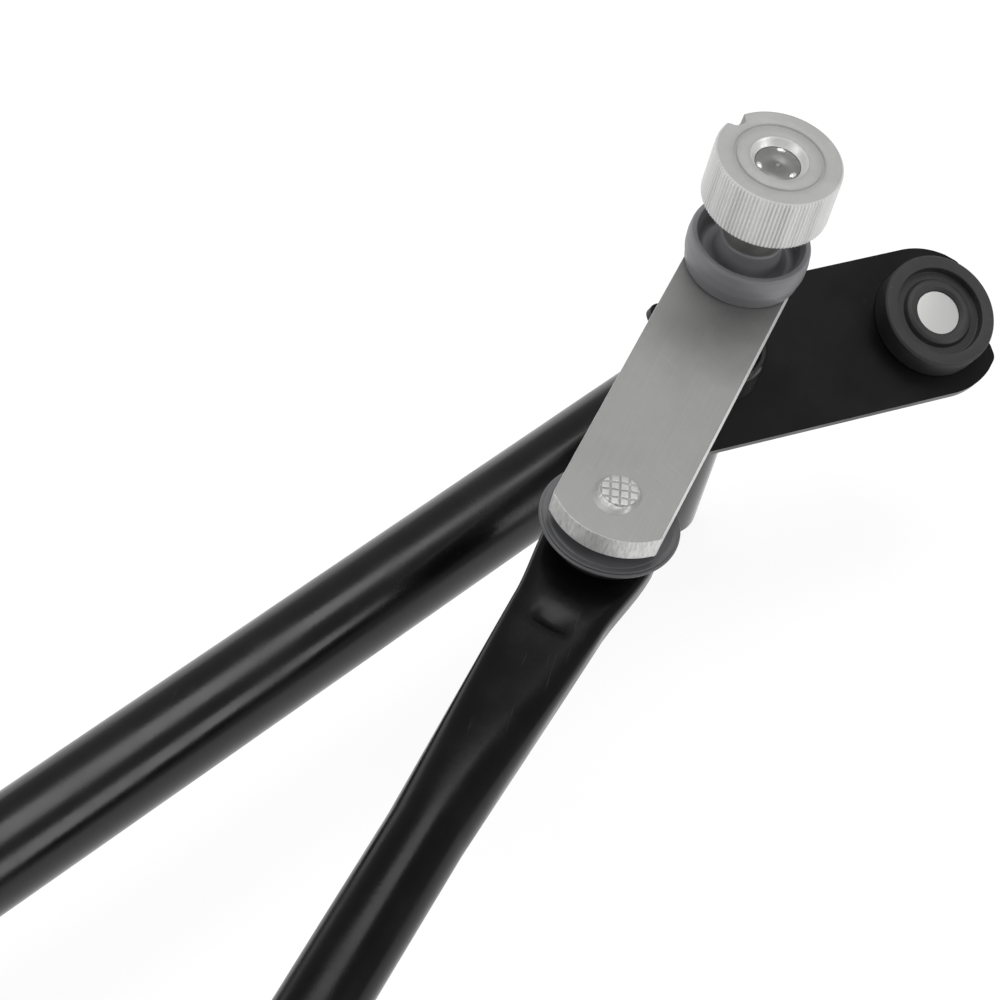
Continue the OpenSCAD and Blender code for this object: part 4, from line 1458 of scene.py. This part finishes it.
@dataclass
class Studio:
    """Camera, floor and light."""

    azimuth: float = -59.127
    elevation: float = 48.682
    roll: float = 17.023
    distance: float = 0.7015
    aim: Point = (-0.08616, -0.01283)
    lens: float = 132.78
    sensor: float = 36.0
    floor_size: float = 40.0
    floor_colour: Colour = (0.86, 0.86, 0.86)
    sky: float = 0.34

    def build(self) -> None:
        """Makes the camera, the floor, the sky and the lamps."""
        scene = bpy.context.scene
        scene.view_settings.view_transform = "Standard"
        self.camera()
        self.floor()
        self.world()
        self.lamp("overhead_softbox", (0.25, 0.35, 1.25), (-0.1, -0.05, 0.0), 1.1, 0.8, 10.5)
        self.lamp("left_softbox", (-1.3, 0.5, 0.75), (-0.1, 0.0, 0.0), 0.8, 0.8, 5.1)
        self.lamp("right_softbox", (0.5, -1.3, 0.8), (-0.1, 0.0, 0.0), 0.8, 0.8, 7.5)

    def camera(self) -> None:
        """The camera, at a rolled three-quarter view of the right pivot."""
        a, e, r = (math.radians(v) for v in (self.azimuth, self.elevation, self.roll))
        flat = Vector((-math.sin(a), math.cos(a), 0.0))
        right = Vector((math.cos(a), math.sin(a), 0.0))
        back = -flat * math.cos(e) + Vector((0.0, 0.0, math.sin(e)))
        over = flat * math.sin(e) + Vector((0.0, 0.0, math.cos(e)))
        side = right * math.cos(r) + over * math.sin(r)
        top = over * math.cos(r) - right * math.sin(r)
        aim = Vector((self.aim[0], self.aim[1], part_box("right_lever")[1].z))
        data = bpy.data.cameras.new("camera")
        data.lens, data.sensor_width = self.lens, self.sensor
        thing = bpy.data.objects.new("camera", data)
        turn = Matrix((side, top, back)).transposed().to_4x4()
        thing.matrix_world = Matrix.Translation(aim + back * self.distance) @ turn
        bpy.context.scene.collection.objects.link(thing)
        bpy.context.scene.camera = thing

    def floor(self) -> None:
        """A pale floor that the linkage stands on."""
        bm = bmesh.new()
        bmesh.ops.create_grid(bm, x_segments=1, y_segments=1, size=self.floor_size / 2)
        bmesh.ops.translate(bm, verts=bm.verts, vec=(0.0, 0.0, CAD_BOX[0].z))
        mesh = bpy.data.meshes.new("floor")
        bm.to_mesh(mesh)
        bm.free()
        thing = bpy.data.objects.new("floor", mesh)
        bpy.context.scene.collection.objects.link(thing)
        recipe = Recipe("pale_floor")
        matt = recipe.node("ShaderNodeBsdfDiffuse", None, {"Color": (*self.floor_colour, 1.0)})
        white = recipe.node("ShaderNodeEmission", None, {"Color": (1.0, 1.0, 1.0, 1.0), "Strength": 1.1})
        path = recipe.node("ShaderNodeLightPath")
        seen = Signal(recipe, path.outputs["Is Camera Ray"]) + Signal(recipe, path.outputs["Is Glossy Ray"])
        both = recipe.node("ShaderNodeMixShader", None, {0: seen * 0.8, 1: matt.outputs[0], 2: white.outputs[0]})
        recipe.node("ShaderNodeOutputMaterial", None, {"Surface": both.outputs[0]})
        mesh.materials.append(recipe.material)
        thing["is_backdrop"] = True

    def world(self) -> None:
        """A white background for the camera and a softer sky for everything else."""
        world = bpy.data.worlds.new("studio")
        world.use_nodes = True
        tree = world.node_tree
        tree.nodes.clear()
        path = tree.nodes.new("ShaderNodeLightPath")
        strength = tree.nodes.new("ShaderNodeMapRange")
        strength.inputs["To Min"].default_value = self.sky
        strength.inputs["To Max"].default_value = 1.0
        back = tree.nodes.new("ShaderNodeBackground")
        back.inputs["Color"].default_value = (1.0, 1.0, 1.0, 1.0)
        out = tree.nodes.new("ShaderNodeOutputWorld")
        tree.links.new(path.outputs["Is Camera Ray"], strength.inputs["Value"])
        tree.links.new(strength.outputs[0], back.inputs["Strength"])
        tree.links.new(back.outputs[0], out.inputs["Surface"])
        bpy.context.scene.world = world

    def lamp(self, name: str, place: Sequence[float], aim: Sequence[float], wide: float, deep: float,
             power: float) -> None:
        """A soft rectangular lamp.

        Args:
            name: the lamp's name.
            place: where it hangs.
            aim: the point that it faces.
            wide: its width.
            deep: its depth.
            power: its power in watts.
        """
        data = bpy.data.lights.new(name, "AREA")
        data.shape, data.size, data.size_y, data.energy = "RECTANGLE", wide, deep, power
        thing = bpy.data.objects.new(name, data)
        thing.location = place
        thing.rotation_mode = "QUATERNION"
        thing.rotation_quaternion = (Vector(place) - Vector(aim)).to_track_quat("Z", "Y")
        bpy.context.scene.collection.objects.link(thing)


def write_sizes() -> None:
    """Gathers the CAD model's box and the finished model's box into a table that is not kept."""
    boxes = {"cad": CAD_BOX, "visual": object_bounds()}
    {name: [list(corner) for corner in box] for name, box in boxes.items()}


def main() -> None:
    """Builds the linkage's looks and its studio."""
    logging.basicConfig(level=logging.INFO, format="%(message)s")
    Studio().build()
    TubeFrame().build()
    for end in End:
        PivotMount(end).build()
        PivotArm(end).build()
        DriveLink(end).build()
    write_sizes()


if __name__ == "__main__":
    main()
